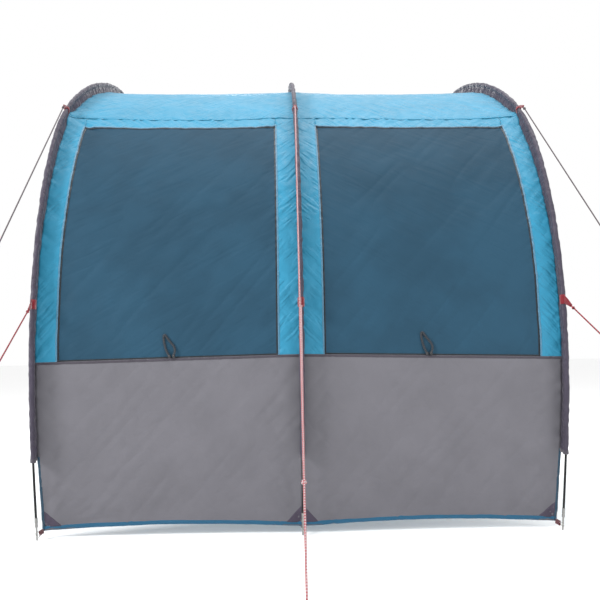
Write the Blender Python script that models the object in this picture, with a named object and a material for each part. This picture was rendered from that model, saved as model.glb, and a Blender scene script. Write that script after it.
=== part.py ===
"""Tunnel tent on three parallel arches: fibreglass poles in sleeves, a roof, two side walls and guylines.

Metres, +Z up. The tunnel runs along X, the arches stand in planes parallel to YZ, and the front
wall faces -Y. The origin is on the ground under the middle of the centre arch.
"""

import math

import bmesh
import bpy
import numpy as np
from mathutils import Vector
from mathutils.geometry import interpolate_bezier

# Arches: half of the pole's centreline, from the foot to the top, as (distance from the middle, height).
ARCH_SPACING = 0.94
ARCH_HALF = (
    (1.314, 0.000),
    (1.381, 0.349),
    (1.405, 0.703),
    (1.351, 1.054),
    (1.208, 1.379),
    (0.983, 1.650),
    (0.688, 1.845),
    (0.353, 1.962),
    (0.000, 2.002),
)
# Above this height the end arches lean in towards the centre one, by this much at the top.
LEAN_HEIGHT = 1.5
TOP_LEAN = 0.08
ARCH_STATIONS = 44
STATION_MARGIN = 0.01
TANGENT_REACH = 0.02
BAYS = (("left", -1), ("right", 1))
ARCHES = (("left", -1), ("centre", 0), ("right", 1))
SIDES = (("front", 1), ("rear", -1))

# Poles: each arch is two legs and a bow, and stands on steel tips.
POLE_RADIUS = 0.00425
POLE_SIDES = 6
TIP_RADIUS = 0.0032
TIP_TOP = 0.060
LEG_TOP_STATION = 11
GAP = 0.0003

# Sleeves: a teardrop loop of fabric round the pole, whose tail is sewn to the canopy.
SLEEVE_INNER = 0.0078
SLEEVE_OUTER = 0.0092
SLEEVE_TAIL = 0.0280
SLEEVE_FOOT = 0.280
END_TAIL_INSET = 0.011
SLEEVE_SIDES = 6

# Canopy and walls: sheets that follow the arches at a depth inside the pole's centreline.
SHEET_DEPTH = 0.0345
SHEET_THICKNESS = 0.002
SEAM_GAP = 0.0006
CANOPY_INSET = 0.011
BAY_SAG = 0.012
HEM_HEIGHT = 0.020
HEM_RISE = 0.014
SILL_HEIGHT = 0.632
EAVE_HEIGHT = 1.648
WINDOW_HEAD_HEIGHT = 1.596
WINDOW_INNER_X = 0.082
WINDOW_OUTER_X = 0.856
PANEL_COLUMNS = 6
WINDOW_COLUMNS = 4
ROOF_ROWS = 18
SKIRT_ROWS = 6
WALL_ROWS = 9

# Feet: a webbing strap ties each bottom corner of the walls to the pole's tip.
STRAP_WIDTH = 0.020
STRAP_THICKNESS = 0.002
STRAP_HEIGHT = 0.020

# Guylines: each starts at a webbing tab on the sleeve, and ends in a loop.
TAB_HEIGHTS = {"upper": 1.655, "middle": 0.830}
TAB_BASE_WIDTHS = {"upper": 0.016, "middle": 0.034}
TAB_TIP_WIDTH = 0.011
TAB_LEANS = {"upper": 0.6, "middle": 0.0}
TAB_LENGTH = 0.038
TAB_THICKNESS = 0.002
CORD_RADIUS = 0.0025
CORD_POINTS = 16
RUNNER_LENGTH = 0.026
RUNNER_BORE = 0.0032
RUNNER_OUTER = 0.0080
RUNNER_SIDES = 8
RUNNER_FROM_END = 0.050
LOOP_LENGTH = 0.055
LOOP_WIDTH = 0.020
LOOP_TURN_POINTS = 18
LOOP_SIDES = 6

# Where each guyline's cord ends, on its straight way to a peg in the ground.
GUYLINE_ENDS = (
    ("left", "upper", (-0.965, -1.739, 0.953)),
    ("left", "middle", (-0.954, -1.769, 0.587)),
    ("centre", "upper", (-0.047, -2.790, 0.135)),
    ("right", "upper", (1.080, -1.496, 1.020)),
    ("right", "middle", (1.044, -1.597, 0.645)),
)
# The centre arch's middle guyline is knotted to its upper one at this share of the upper one's length.
JUNCTION_SHARE = 0.850
JUNCTION_STANDOFF = 0.030

# Window loops: an elastic cord loop that stands on the sill in the middle of each window.
WINDOW_LOOP_LENGTH = 0.085
WINDOW_LOOP_WIDTH = 0.026
WINDOW_LOOP_LEAN = 0.022
WINDOW_LOOP_RADIUS = 0.0022
WINDOW_LOOP_LIFT = 0.0045
WINDOW_LOOP_X = 0.460

COLOURS = {
    "canopy_fabric": ((0.08, 0.40, 0.62), 0.55, 0.0),
    "skirt_fabric": ((0.16, 0.15, 0.17), 0.60, 0.0),
    "sleeve_fabric": ((0.13, 0.12, 0.15), 0.60, 0.0),
    "window_mesh": ((0.04, 0.10, 0.16), 0.65, 0.0),
    "pole_fibreglass": ((0.01, 0.01, 0.01), 0.35, 0.0),
    "tip_steel": ((0.45, 0.44, 0.42), 0.35, 1.0),
    "red_webbing": ((0.55, 0.01, 0.03), 0.70, 0.0),
    "guyline_cord": ((0.60, 0.16, 0.20), 0.75, 0.0),
    "loop_cord": ((0.01, 0.01, 0.02), 0.70, 0.0),
    "runner_plastic": ((0.02, 0.02, 0.02), 0.45, 0.0),
}


def clear_scene():
    for obj in list(bpy.data.objects):
        bpy.data.objects.remove(obj)


def make_materials():
    for name, (colour, roughness, metallic) in COLOURS.items():
        material = bpy.data.materials.new(name)
        material.use_nodes = True
        shader = material.node_tree.nodes["Principled BSDF"]
        shader.inputs["Base Color"].default_value = (*colour, 1.0)
        shader.inputs["Roughness"].default_value = roughness
        shader.inputs["Metallic"].default_value = metallic


def arch_curve(steps=40):
    """The whole centreline of an arch from the front foot to the rear foot, as (y, z) points."""
    half = [Vector((-y, z)) for y, z in ARCH_HALF]
    mirrored = [Vector((-p.x, p.y)) for p in reversed(half[:-1])]
    knots = half + mirrored
    slopes = [knots[1] - knots[0]]
    for before, after in zip(knots[:-2], knots[2:]):
        slopes.append((after - before) / 2)
    slopes.append(knots[-1] - knots[-2])
    points = [knots[0]]
    for i in range(len(knots) - 1):
        a, b = knots[i], knots[i + 1]
        handles = (a + slopes[i] / 3, b - slopes[i + 1] / 3)
        points += interpolate_bezier(a, handles[0], handles[1], b, steps)[1:]
    return np.array([(p.x, p.y) for p in points])


CURVE = arch_curve()
CURVE_LENGTHS = np.concatenate([[0.0], np.cumsum(np.hypot(*np.diff(CURVE, axis=0).T))])
ARCH_LENGTH = CURVE_LENGTHS[-1]


def arch_point(s, depth=0.0):
    """(y, z) at arc length s from the front foot, moved inwards by depth."""
    y = np.interp(s, CURVE_LENGTHS, CURVE[:, 0])
    z = np.interp(s, CURVE_LENGTHS, CURVE[:, 1])
    inward = arch_inward(s)
    return y + inward[0] * depth, z + inward[1] * depth


def arch_inward(s, reach=TANGENT_REACH):
    """The unit vector that points into the tunnel at arc length s, in the arch's plane."""
    ends = (s - reach, s + reach)
    dy, dz = (np.diff(np.interp(ends, CURVE_LENGTHS, CURVE[:, axis]))[0] for axis in (0, 1))
    size = math.hypot(dy, dz)
    return dz / size, -dy / size


def arch_length_at(height, side=1):
    """The arc length where the centreline crosses a height, on the front (side 1) or the rear (-1)."""
    top = int(np.argmax(CURVE[:, 1]))
    s = float(np.interp(height, CURVE[: top + 1, 1], CURVE_LENGTHS[: top + 1]))
    return s if side > 0 else ARCH_LENGTH - s


def leaned(x, s):
    """x, moved towards the middle of the tent where the arches lean in at arc length s."""
    share = max(0.0, (arch_point(s)[1] - LEAN_HEIGHT) / (ARCH_HALF[-1][1] - LEAN_HEIGHT))
    return x * (1 - TOP_LEAN / ARCH_SPACING * share**2)


STATIONS = [ARCH_LENGTH * i / ARCH_STATIONS for i in range(ARCH_STATIONS + 1)]


def new_object(name, bm, material, smooth=False):
    bmesh.ops.recalc_face_normals(bm, faces=bm.faces[:])
    mesh = bpy.data.meshes.new(name)
    bm.to_mesh(mesh)
    bm.free()
    mesh.materials.append(bpy.data.materials[material])
    if smooth:
        mesh.shade_smooth()
        mesh.set_sharp_from_angle(angle=math.radians(40))
    obj = bpy.data.objects.new(name, mesh)
    bpy.context.scene.collection.objects.link(obj)
    return obj


def bridge(bm, ring_a, ring_b, closed=True):
    count = len(ring_a)
    for i in range(count if closed else count - 1):
        j = (i + 1) % count
        bm.faces.new((ring_a[i], ring_a[j], ring_b[j], ring_b[i]))


def loft(name, rings, material, smooth=True):
    """A closed solid through rings of equal size, with flat ends."""
    bm = bmesh.new()
    loops = [[bm.verts.new(p) for p in ring] for ring in rings]
    for a, b in zip(loops[:-1], loops[1:]):
        bridge(bm, a, b)
    bm.faces.new(loops[0][::-1])
    bm.faces.new(loops[-1])
    return new_object(name, bm, material, smooth)


def tube_loft(name, outer_rings, inner_rings, material):
    """An open-ended tube between outer and inner rings of equal size."""
    bm = bmesh.new()
    outer = [[bm.verts.new(p) for p in ring] for ring in outer_rings]
    inner = [[bm.verts.new(p) for p in ring] for ring in inner_rings]
    for a, b in zip(outer[:-1], outer[1:]):
        bridge(bm, a, b)
    for a, b in zip(inner[:-1], inner[1:]):
        bridge(bm, b, a)
    bridge(bm, inner[0], outer[0])
    bridge(bm, outer[-1], inner[-1])
    return new_object(name, bm, material, smooth=True)


def stations_between(start, end):
    """The two ends, with the shared stations between them that aren't too close to either."""
    between = [s for s in STATIONS if start + STATION_MARGIN < s < end - STATION_MARGIN]
    return [start, *between, end]


def arch_ring(x, s, offsets):
    """Points round the pole at arc length s, from (along X, inwards) offsets."""
    ring = []
    for across, depth in offsets:
        y, z = arch_point(s, depth)
        ring.append((leaned(x, s) + across, y, z))
    return ring


def circle_offsets(radius, sides, turned=0.0):
    turns = [2 * math.pi * (i + 0.5) / sides + turned for i in range(sides)]
    return [(radius * math.sin(a), radius * math.cos(a)) for a in turns]


def make_pole(name, x, start, end, radius, material):
    """A round rod along the arch between two arc lengths, on the shared stations."""
    offsets = circle_offsets(radius, POLE_SIDES)
    return loft(name, [arch_ring(x, s, offsets) for s in stations_between(start, end)], material)


def make_arch_poles(name, x):
    tip = arch_length_at(TIP_TOP)
    leg = STATIONS[LEG_TOP_STATION]
    bow_end = ARCH_LENGTH - leg
    pole = "pole_fibreglass"
    make_pole(f"{name}_pole_front_leg", x, tip + GAP, leg - GAP, POLE_RADIUS, pole)
    make_pole(f"{name}_pole_bow", x, leg, bow_end, POLE_RADIUS, pole)
    make_pole(f"{name}_pole_rear_leg", x, bow_end + GAP, ARCH_LENGTH - tip - GAP, POLE_RADIUS, pole)
    for side_name, side in SIDES:
        make_tip(f"{name}_{side_name}_pole_tip", x, side)


def make_tip(name, x, side):
    """The steel spigot under a leg, cut off flat on the ground."""
    tip_top = arch_length_at(TIP_TOP)
    rings = []
    for s, height in ((0.0, 0.0), (tip_top, None)):
        ring = []
        for across, depth in circle_offsets(TIP_RADIUS, 2 * POLE_SIDES):
            y, z = arch_point(s, depth)
            ring.append((x + across, y * side, z if height is None else height))
        rings.append(ring)
    return loft(name, rings, "tip_steel")


def make_sleeve(name, x, inset):
    """The pole's sleeve: a teardrop in section, whose tail leans by inset towards the tent's middle."""
    start = arch_length_at(SLEEVE_FOOT)
    stations = stations_between(start, ARCH_LENGTH - start)
    lean = math.atan2(inset, SLEEVE_TAIL)
    inner = circle_offsets(SLEEVE_INNER, SLEEVE_SIDES, lean)
    outer = circle_offsets(SLEEVE_OUTER, SLEEVE_SIDES, lean)
    for index, half in ((0, SHEET_THICKNESS / 2), (-1, -SHEET_THICKNESS / 2)):
        outer[index] = (inset + half * math.cos(lean), SLEEVE_TAIL - half * math.sin(lean))
    return tube_loft(
        name,
        [arch_ring(x, s, outer) for s in stations],
        [arch_ring(x, s, inner) for s in stations],
        "sleeve_fabric",
    )


def bay_sag(x):
    """How far the sheet hangs inwards between two arches."""
    share = abs(x) / ARCH_SPACING
    return BAY_SAG * 4 * share * (1 - share)


def sheet_point(x, s, side, depth):
    y, z = arch_point(s, SHEET_DEPTH + depth + bay_sag(x))
    return leaned(x, s), y * side, z


def grid_solid(name, xs, ss, side, material, hole=None, base=None):
    """A sheet of even thickness over a grid of x and arc length. hole(i, j) leaves a cell out,
    and base(x) gives the height of the lowest row."""
    bm = bmesh.new()
    layers = []
    for depth in (0.0, SHEET_THICKNESS):
        layer = []
        for x in xs:
            row = [bm.verts.new(sheet_point(x, s, side, depth)) for s in ss]
            if base is not None:
                row[0].co.z = base(x)
            layer.append(row)
        layers.append(layer)
    skin, lining = layers
    cells = {
        (i, j)
        for i in range(len(xs) - 1)
        for j in range(len(ss) - 1)
        if hole is None or not hole(i, j)
    }
    for i, j in sorted(cells):
        for layer in layers:
            corners = [layer[i][j], layer[i + 1][j], layer[i + 1][j + 1], layer[i][j + 1]]
            bm.faces.new(corners if layer is skin else corners[::-1])
        for (di, dj), (a, b) in (
            ((0, -1), ((0, 0), (1, 0))),
            ((0, 1), ((0, 1), (1, 1))),
            ((-1, 0), ((0, 0), (0, 1))),
            ((1, 0), ((1, 0), (1, 1))),
        ):
            if (i + di, j + dj) in cells:
                continue
            ends = [(i + a[0], j + a[1]), (i + b[0], j + b[1])]
            (p, q), (r, t) = ends
            bm.faces.new((skin[p][q], skin[r][t], lining[r][t], lining[p][q]))
    for vert in [v for v in bm.verts if not v.link_faces]:
        bm.verts.remove(vert)
    return new_object(name, bm, material)


def spaced(start, end, count):
    return [start + (end - start) * i / count for i in range(count + 1)]


def hem_height(x):
    share = abs(x) / ARCH_SPACING
    return HEM_HEIGHT + HEM_RISE * 4 * share * (1 - share)


def bay_columns(sign):
    """The x of a bay's columns, from the centre arch's seam to the end arch's seam."""
    return [sign * x for x in spaced(SEAM_GAP, ARCH_SPACING - CANOPY_INSET, PANEL_COLUMNS)]


def make_roof():
    """One sheet over all three arches, from the front eave seam to the rear one."""
    start = arch_length_at(EAVE_HEIGHT) + SEAM_GAP
    edge = ARCH_SPACING - CANOPY_INSET
    columns = spaced(-edge, edge, 2 * PANEL_COLUMNS)
    rows = spaced(start, ARCH_LENGTH - start, ROOF_ROWS)
    grid_solid("roof_canopy", columns, rows, 1, "canopy_fabric")


def make_skirt(name, sign, side):
    """The lower wall, whose hem rises a little between the feet."""
    rows = spaced(arch_length_at(HEM_HEIGHT), arch_length_at(SILL_HEIGHT) - SEAM_GAP, SKIRT_ROWS)
    grid_solid(name, bay_columns(sign), rows, side, "skirt_fabric", base=hem_height)


def window_rows():
    return spaced(arch_length_at(SILL_HEIGHT), arch_length_at(WINDOW_HEAD_HEIGHT), WALL_ROWS)


def make_front_frame(name, sign):
    """The upper wall round a window: two stiles and a head, open at the sill."""
    edge = ARCH_SPACING - CANOPY_INSET
    xs = [sign * x for x in (SEAM_GAP, WINDOW_INNER_X, WINDOW_OUTER_X, edge)]
    middle = [sign * x for x in spaced(WINDOW_INNER_X, WINDOW_OUTER_X, WINDOW_COLUMNS)]
    xs = xs[:1] + middle + xs[3:]
    ss = [*window_rows(), arch_length_at(EAVE_HEIGHT)]
    last_row = len(ss) - 2

    def is_window(i, j):
        return 0 < i < len(xs) - 2 and j < last_row

    grid_solid(name, xs, ss, 1, "canopy_fabric", hole=is_window)


def make_window(name, sign):
    low, high = WINDOW_INNER_X + SEAM_GAP, WINDOW_OUTER_X - SEAM_GAP
    xs = [sign * x for x in spaced(low, high, WINDOW_COLUMNS)]
    rows = window_rows()
    rows[-1] -= SEAM_GAP
    grid_solid(name, xs, rows, 1, "window_mesh")


def make_rear_wall(name, sign):
    rows = spaced(arch_length_at(SILL_HEIGHT), arch_length_at(EAVE_HEIGHT), WALL_ROWS)
    grid_solid(name, bay_columns(sign), rows, -1, "canopy_fabric")


def perpendicular_frame(direction, guide):
    """Two unit vectors square to a direction, the first one as near as it can be to a guide."""
    along = Vector(direction).normalized()
    first = (Vector(guide) - along * along.dot(Vector(guide))).normalized()
    return along, first, along.cross(first)


def flat_ring(centre, half_width, half_thickness):
    """The four corners of a strap's section."""
    signs = ((-1, -1), (1, -1), (1, 1), (-1, 1))
    return [centre + half_width * w + half_thickness * t for w, t in signs]


def make_plate(name, start, end, width_start, width_end, thickness):
    """A flat webbing strap from start to end, standing on its edge."""
    _, wide, thin = perpendicular_frame(end - start, (0.0, 0.0, 1.0))
    rings = []
    for centre, width in ((start, width_start), (end, width_end)):
        rings.append(flat_ring(centre, wide * (width / 2), thin * (thickness / 2)))
    return loft(name, rings, "red_webbing", smooth=False)


def make_foot_strap(name, x, side):
    """The webbing from the wall's bottom corner down to the tip of the pole."""
    inset = -math.copysign(CANOPY_INSET, x) if x else 0.0
    foot_y = arch_point(0.0)[0] * side
    hem_y = arch_point(arch_length_at(HEM_HEIGHT), SHEET_DEPTH)[0] * side
    start = Vector((x + inset, hem_y, STRAP_HEIGHT))
    end = Vector((x, foot_y, STRAP_HEIGHT / 2))
    reach = end - start
    end = start + reach * (1 - (TIP_RADIUS + 2 * GAP) / reach.length)
    make_plate(name, start, end, STRAP_WIDTH, STRAP_WIDTH / 2, STRAP_THICKNESS)


def tab_base(x, height):
    """Where a guyline's tab meets the sleeve: the pole's centreline at that height."""
    s = arch_length_at(height)
    return Vector((leaned(x, s), *arch_point(s)))


def arch_tangent(height, reach=TANGENT_REACH):
    s = arch_length_at(height)
    ends = [arch_point(s - reach), arch_point(s + reach)]
    return Vector((0.0, ends[1][0] - ends[0][0], ends[1][1] - ends[0][1])).normalized()


def straight(start, end, count):
    return [start.lerp(end, i / (count - 1)) for i in range(count)]


def make_cord(name, points, radius, material):
    curve = bpy.data.curves.new(name, "CURVE")
    curve.dimensions = "3D"
    curve.bevel_depth = radius
    curve.bevel_resolution = 2
    curve.use_fill_caps = True
    spline = curve.splines.new("POLY")
    spline.points.add(len(points) - 1)
    for target, point in zip(spline.points, points):
        target.co = (*point, 1.0)
    curve.materials.append(bpy.data.materials[material])
    obj = bpy.data.objects.new(name, curve)
    bpy.context.scene.collection.objects.link(obj)
    return obj


def oval_points(base, along, wide, length, width, count):
    """A closed oval loop that starts at base and reaches out along a direction."""
    points = []
    for i in range(count):
        turn = 2 * math.pi * i / count
        out = length * (1 - math.cos(turn)) / 2
        points.append(Vector(base) + along * out + wide * (width / 2 * math.sin(turn)))
    return points


def make_closed_loop(name, points, normal, radius, material):
    """A closed cord loop in the plane square to a normal."""
    bm = bmesh.new()
    count = len(points)
    rings = []
    for i, point in enumerate(points):
        tangent = (points[(i + 1) % count] - points[i - 1]).normalized()
        side = tangent.cross(normal).normalized()
        ring = []
        for k in range(LOOP_SIDES):
            angle = 2 * math.pi * k / LOOP_SIDES
            radial = side * math.cos(angle) + normal * math.sin(angle)
            ring.append(bm.verts.new(point + radial * radius))
        rings.append(ring)
    for i in range(count):
        bridge(bm, rings[i], rings[(i + 1) % count])
    return new_object(name, bm, material, smooth=True)


def make_runner(name, centre, along, wide, thin):
    """The plastic adjuster that slides on a guyline: a short tube with its origin on the line."""
    bm = bmesh.new()
    rings = {}
    for kind, radius in (("outer", RUNNER_OUTER), ("inner", RUNNER_BORE)):
        for end in (-1, 1):
            ring = []
            for k in range(RUNNER_SIDES):
                angle = 2 * math.pi * (k + 0.5) / RUNNER_SIDES
                radial = wide * math.cos(angle) + thin * math.sin(angle)
                ring.append(bm.verts.new(along * (end * RUNNER_LENGTH / 2) + radial * radius))
            rings[kind, end] = ring
    bridge(bm, rings["outer", -1], rings["outer", 1])
    bridge(bm, rings["inner", 1], rings["inner", -1])
    bridge(bm, rings["inner", -1], rings["outer", -1])
    bridge(bm, rings["outer", 1], rings["inner", 1])
    obj = new_object(name, bm, "runner_plastic", smooth=True)
    obj.location = centre
    return obj


def make_tab(name, base, edge, base_width, along):
    """A tapered webbing tab from a base edge. Returns its tip."""
    tip = base + along * TAB_LENGTH
    thin = along.cross(edge).normalized()
    wide = thin.cross(along)
    rings = []
    for centre, across in ((base, edge * (base_width / 2)), (tip, wide * (TAB_TIP_WIDTH / 2))):
        rings.append(flat_ring(centre, across, thin * (TAB_THICKNESS / 2)))
    loft(name, rings, "red_webbing", smooth=False)
    return tip


def make_tab_and_cord(arch, level, x, end):
    """A guyline's tab and its cord. Returns the cord's direction and its two sides."""
    height = TAB_HEIGHTS[level]
    label = f"{arch}_{level}"
    inward = arch_inward(arch_length_at(height))
    outward = Vector((0.0, -inward[0], -inward[1]))
    base = tab_base(x, height) + outward * (SLEEVE_OUTER + TAB_THICKNESS)
    tangent = arch_tangent(height)
    edge = tangent if level == "middle" else Vector((1.0, 0.0, 0.0))
    pull = (Vector(end) - base).normalized()
    lean = (pull + outward * TAB_LEANS[level]).normalized()
    tip = make_tab(f"{label}_guy_tab", base, edge, TAB_BASE_WIDTHS[level], lean)
    along, wide, thin = perpendicular_frame(Vector(end) - tip, tangent)
    points = straight(tip + along * (GAP + CORD_RADIUS), Vector(end), CORD_POINTS)
    make_cord(f"{label}_guyline", points, CORD_RADIUS, "guyline_cord")
    return along, wide, thin


def make_guyline(arch, level, x, end):
    """A whole guyline: tab, cord, the loop at the far end and the runner that slides on the cord."""
    along, wide, thin = make_tab_and_cord(arch, level, x, end)
    label = f"{arch}_{level}"
    loop_base = Vector(end) + along * (GAP + CORD_RADIUS)
    points = oval_points(loop_base, along, wide, LOOP_LENGTH, LOOP_WIDTH, LOOP_TURN_POINTS)
    make_closed_loop(f"{label}_guy_loop", points, thin, CORD_RADIUS, "guyline_cord")
    make_runner(f"{label}_runner", Vector(end) - along * RUNNER_FROM_END, along, wide, thin)


def junction_end(upper_end):
    """Where the centre arch's middle guyline stops, just short of its knot on the upper one."""
    upper_base = tab_base(0.0, TAB_HEIGHTS["upper"])
    knot = upper_base.lerp(Vector(upper_end), JUNCTION_SHARE)
    reach = knot - tab_base(0.0, TAB_HEIGHTS["middle"])
    return knot - reach.normalized() * JUNCTION_STANDOFF


def make_window_loop(name, sign):
    """The loop stands on the window's sill and leans over a little; its origin is on the sill."""
    s = arch_length_at(SILL_HEIGHT)
    x = sign * WINDOW_LOOP_X
    depth = SHEET_DEPTH + bay_sag(x) - WINDOW_LOOP_LIFT
    low = Vector((x, *arch_point(s + 2 * WINDOW_LOOP_RADIUS, depth)))
    top = arch_point(s + 2 * WINDOW_LOOP_RADIUS + WINDOW_LOOP_LENGTH, depth)
    high = Vector((x - WINDOW_LOOP_LEAN, *top))
    along, wide, normal = perpendicular_frame(high - low, (1.0, 0.0, 0.0))
    points = oval_points((0, 0, 0), along, wide, WINDOW_LOOP_LENGTH, WINDOW_LOOP_WIDTH, LOOP_TURN_POINTS)
    obj = make_closed_loop(name, points, normal, WINDOW_LOOP_RADIUS, "loop_cord")
    obj.location = low
    return obj


def build_frame():
    for name, sign in ARCHES:
        x = sign * ARCH_SPACING
        make_arch_poles(name, x)
        make_sleeve(f"{name}_pole_sleeve", x, -sign * END_TAIL_INSET)


def build_fabric():
    make_roof()
    for bay, sign in BAYS:
        make_front_frame(f"front_frame_{bay}", sign)
        make_window(f"window_mesh_{bay}", sign)
        make_rear_wall(f"rear_wall_{bay}", sign)
        for side_name, side in SIDES:
            make_skirt(f"{side_name}_skirt_{bay}", sign, side)
        make_window_loop(f"window_loop_{bay}", sign)


def build_feet():
    for name, sign in ARCHES:
        for side_name, side in SIDES:
            make_foot_strap(f"{name}_{side_name}_foot_strap", sign * ARCH_SPACING, side)


def build_guylines():
    arch_sign = dict(ARCHES)
    for arch, level, end in GUYLINE_ENDS:
        make_guyline(arch, level, arch_sign[arch] * ARCH_SPACING, end)
        if arch == "centre":
            make_tab_and_cord(arch, "middle", 0.0, junction_end(end))


def main():
    clear_scene()
    make_materials()
    build_frame()
    build_fabric()
    build_feet()
    build_guylines()


main()
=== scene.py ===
"""The tunnel tent's looks: fabric, seams, poles, cords and fittings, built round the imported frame.

Every cloth panel is a patch of one chart: x runs along the tunnel, and s is the distance along an arch
from its front foot, over the top, to its rear foot. Depth is measured inwards from the poles.
"""

import math

import bmesh
import bpy
import numpy as np
from mathutils import Matrix, Vector
from mathutils.geometry import interpolate_bezier


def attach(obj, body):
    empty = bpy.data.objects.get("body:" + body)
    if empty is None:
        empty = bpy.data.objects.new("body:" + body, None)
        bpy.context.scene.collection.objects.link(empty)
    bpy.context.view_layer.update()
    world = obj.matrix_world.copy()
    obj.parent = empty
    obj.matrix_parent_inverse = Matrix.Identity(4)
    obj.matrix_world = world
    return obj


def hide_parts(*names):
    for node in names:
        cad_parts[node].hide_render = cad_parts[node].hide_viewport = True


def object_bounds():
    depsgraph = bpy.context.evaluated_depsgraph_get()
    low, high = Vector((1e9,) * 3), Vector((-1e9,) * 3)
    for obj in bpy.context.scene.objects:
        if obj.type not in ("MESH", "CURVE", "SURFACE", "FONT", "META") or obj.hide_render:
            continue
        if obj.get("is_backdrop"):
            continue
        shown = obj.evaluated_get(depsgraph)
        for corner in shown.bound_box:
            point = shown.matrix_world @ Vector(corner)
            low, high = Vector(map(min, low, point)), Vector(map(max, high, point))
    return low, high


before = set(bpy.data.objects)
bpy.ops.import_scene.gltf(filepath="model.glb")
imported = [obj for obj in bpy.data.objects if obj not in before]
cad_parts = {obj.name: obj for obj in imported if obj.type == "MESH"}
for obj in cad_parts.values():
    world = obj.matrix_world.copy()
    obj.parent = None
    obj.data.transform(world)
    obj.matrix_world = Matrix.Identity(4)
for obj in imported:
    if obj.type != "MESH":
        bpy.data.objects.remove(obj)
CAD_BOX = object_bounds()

# Arches: half of the pole's centreline, from the foot to the top, as (distance from the middle, height).
ARCH_SPACING = 0.94
ARCH_HALF = (
    (1.314, 0.000),
    (1.381, 0.349),
    (1.405, 0.703),
    (1.351, 1.054),
    (1.208, 1.379),
    (0.983, 1.650),
    (0.688, 1.845),
    (0.353, 1.962),
    (0.000, 2.002),
)
LEAN_HEIGHT = 1.5
TOP_LEAN = 0.08
BEZIER_STEPS = 40
TANGENT_REACH = 0.02
ARCHES = (("left", -1), ("centre", 0), ("right", 1))
BAYS = (("left", -1), ("right", 1))
SIDES = (("front", 1), ("rear", -1))
X_AXIS = np.array((1.0, 0.0, 0.0))

# Poles and their tips.
POLE_RADIUS = 0.00425
LEG_SHARE = 11 / 44
FERRULE_RADIUS = 0.0052
FERRULE_LENGTH = 0.070
FERRULES_IN_BOW = 4
FERRULE_SHOULDER = 0.002
ROD_STEP = 0.012
GAP = 0.0003
TIP_TOP = 0.060
# A tip's outline, as (distance, radius): the spigot from its nose, and the collar from the pole's end.
SPIGOT = (
    (0.0002, 0.0011), (0.0010, 0.0024), (0.0030, 0.0031), (0.0080, 0.0032), (0.0085, 0.0028), (0.0105, 0.0028),
    (0.0110, 0.0032),
)
COLLAR = (
    (-0.0120, 0.0032), (-0.0115, 0.0051), (-0.0100, 0.0054), (-0.0020, 0.0054), (-0.0010, 0.0047),
    (0.0020, 0.0047), (0.0030, 0.0054), (0.0220, 0.0054), (0.0226, 0.0048),
)
FOOT_RING_RISE = 0.020
FOOT_RING_RADIUS = 0.0098
FOOT_RING_WIRE = 0.0013
STRAP_WIDTH = 0.017

# Sleeves.
SLEEVE_RADIUS = 0.0090
SLEEVE_FOOT = 0.280
SLEEVE_OUTER = 0.0092
SLEEVE_NECK_DEPTH = 0.0135
SLEEVE_STEP = 0.006
END_TAIL_INSET = 0.011
SLEEVE_HEM = 0.014
SLEEVE_TURN = 138
SLEEVE_SIDES = 19
# The sleeve's tail from the pole to the canopy, as (share of its depth, half thickness).
SLEEVE_TAIL = ((0.0, 0.0042), (0.35, 0.0030), (0.7, 0.0016), (1.0, 0.0007))

# Canopy and walls.
SHEET_DEPTH = 0.0345
SHEET_THICKNESS = 0.0008
BAY_SAG = 0.012
EDGE_X = ARCH_SPACING - 0.011
HEM_HEIGHT = 0.020
HEM_RISE = 0.014
SILL_HEIGHT = 0.632
EAVE_HEIGHT = 1.656
WINDOW_HEAD_HEIGHT = 1.604
WINDOW_INNER_X = 0.082
WINDOW_OUTER_X = 0.856
SKIRT_STEP = 0.009
WALL_STEP = 0.006
ROOF_STEP = 0.008
WINDOW_RECESS = 0.0015
NETTING_OVERLAP = 0.004
MIDDLE_GAP = 0.0006
CORNER_INSET = 0.004
PINCH_DEPTH = 0.014
PINCH_REACH = 0.055
PINCH_SPREAD = 0.10
# How far the canopy's edge lies inside an end pole, as (height, inset).
EDGE_INSETS = ((0.15, 0.011), (0.34, 0.005), (0.55, 0.002), (1.05, 0.002), (1.50, 0.011))
SILL_TILT = 0.020
SILL_TILT_REACH = 0.35

# Trim on the cloth.
HEM_WIDTH = 0.017
EDGE_BINDING_WIDTH = 0.010
WINDOW_BINDING_WIDTH = 0.006
SEAM_WIDTH = 0.009
TRIM_LIFT = 0.0012
TRIM_STEP = 0.006
# Width of the dark tape round each window's netting, which is painted shadow: the shadow line below the
# binding.
PAINTED_SHADOW_LINE_WIDTH = 0.006
PATCH_SIZE = 0.064
PATCH_CELLS = 16
STITCH_PITCH = 0.0042
STITCH_LENGTH = 0.0030
STITCH_RADIUS = 0.0004
STITCH_ROWS = (-0.30, 0.30)

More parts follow.
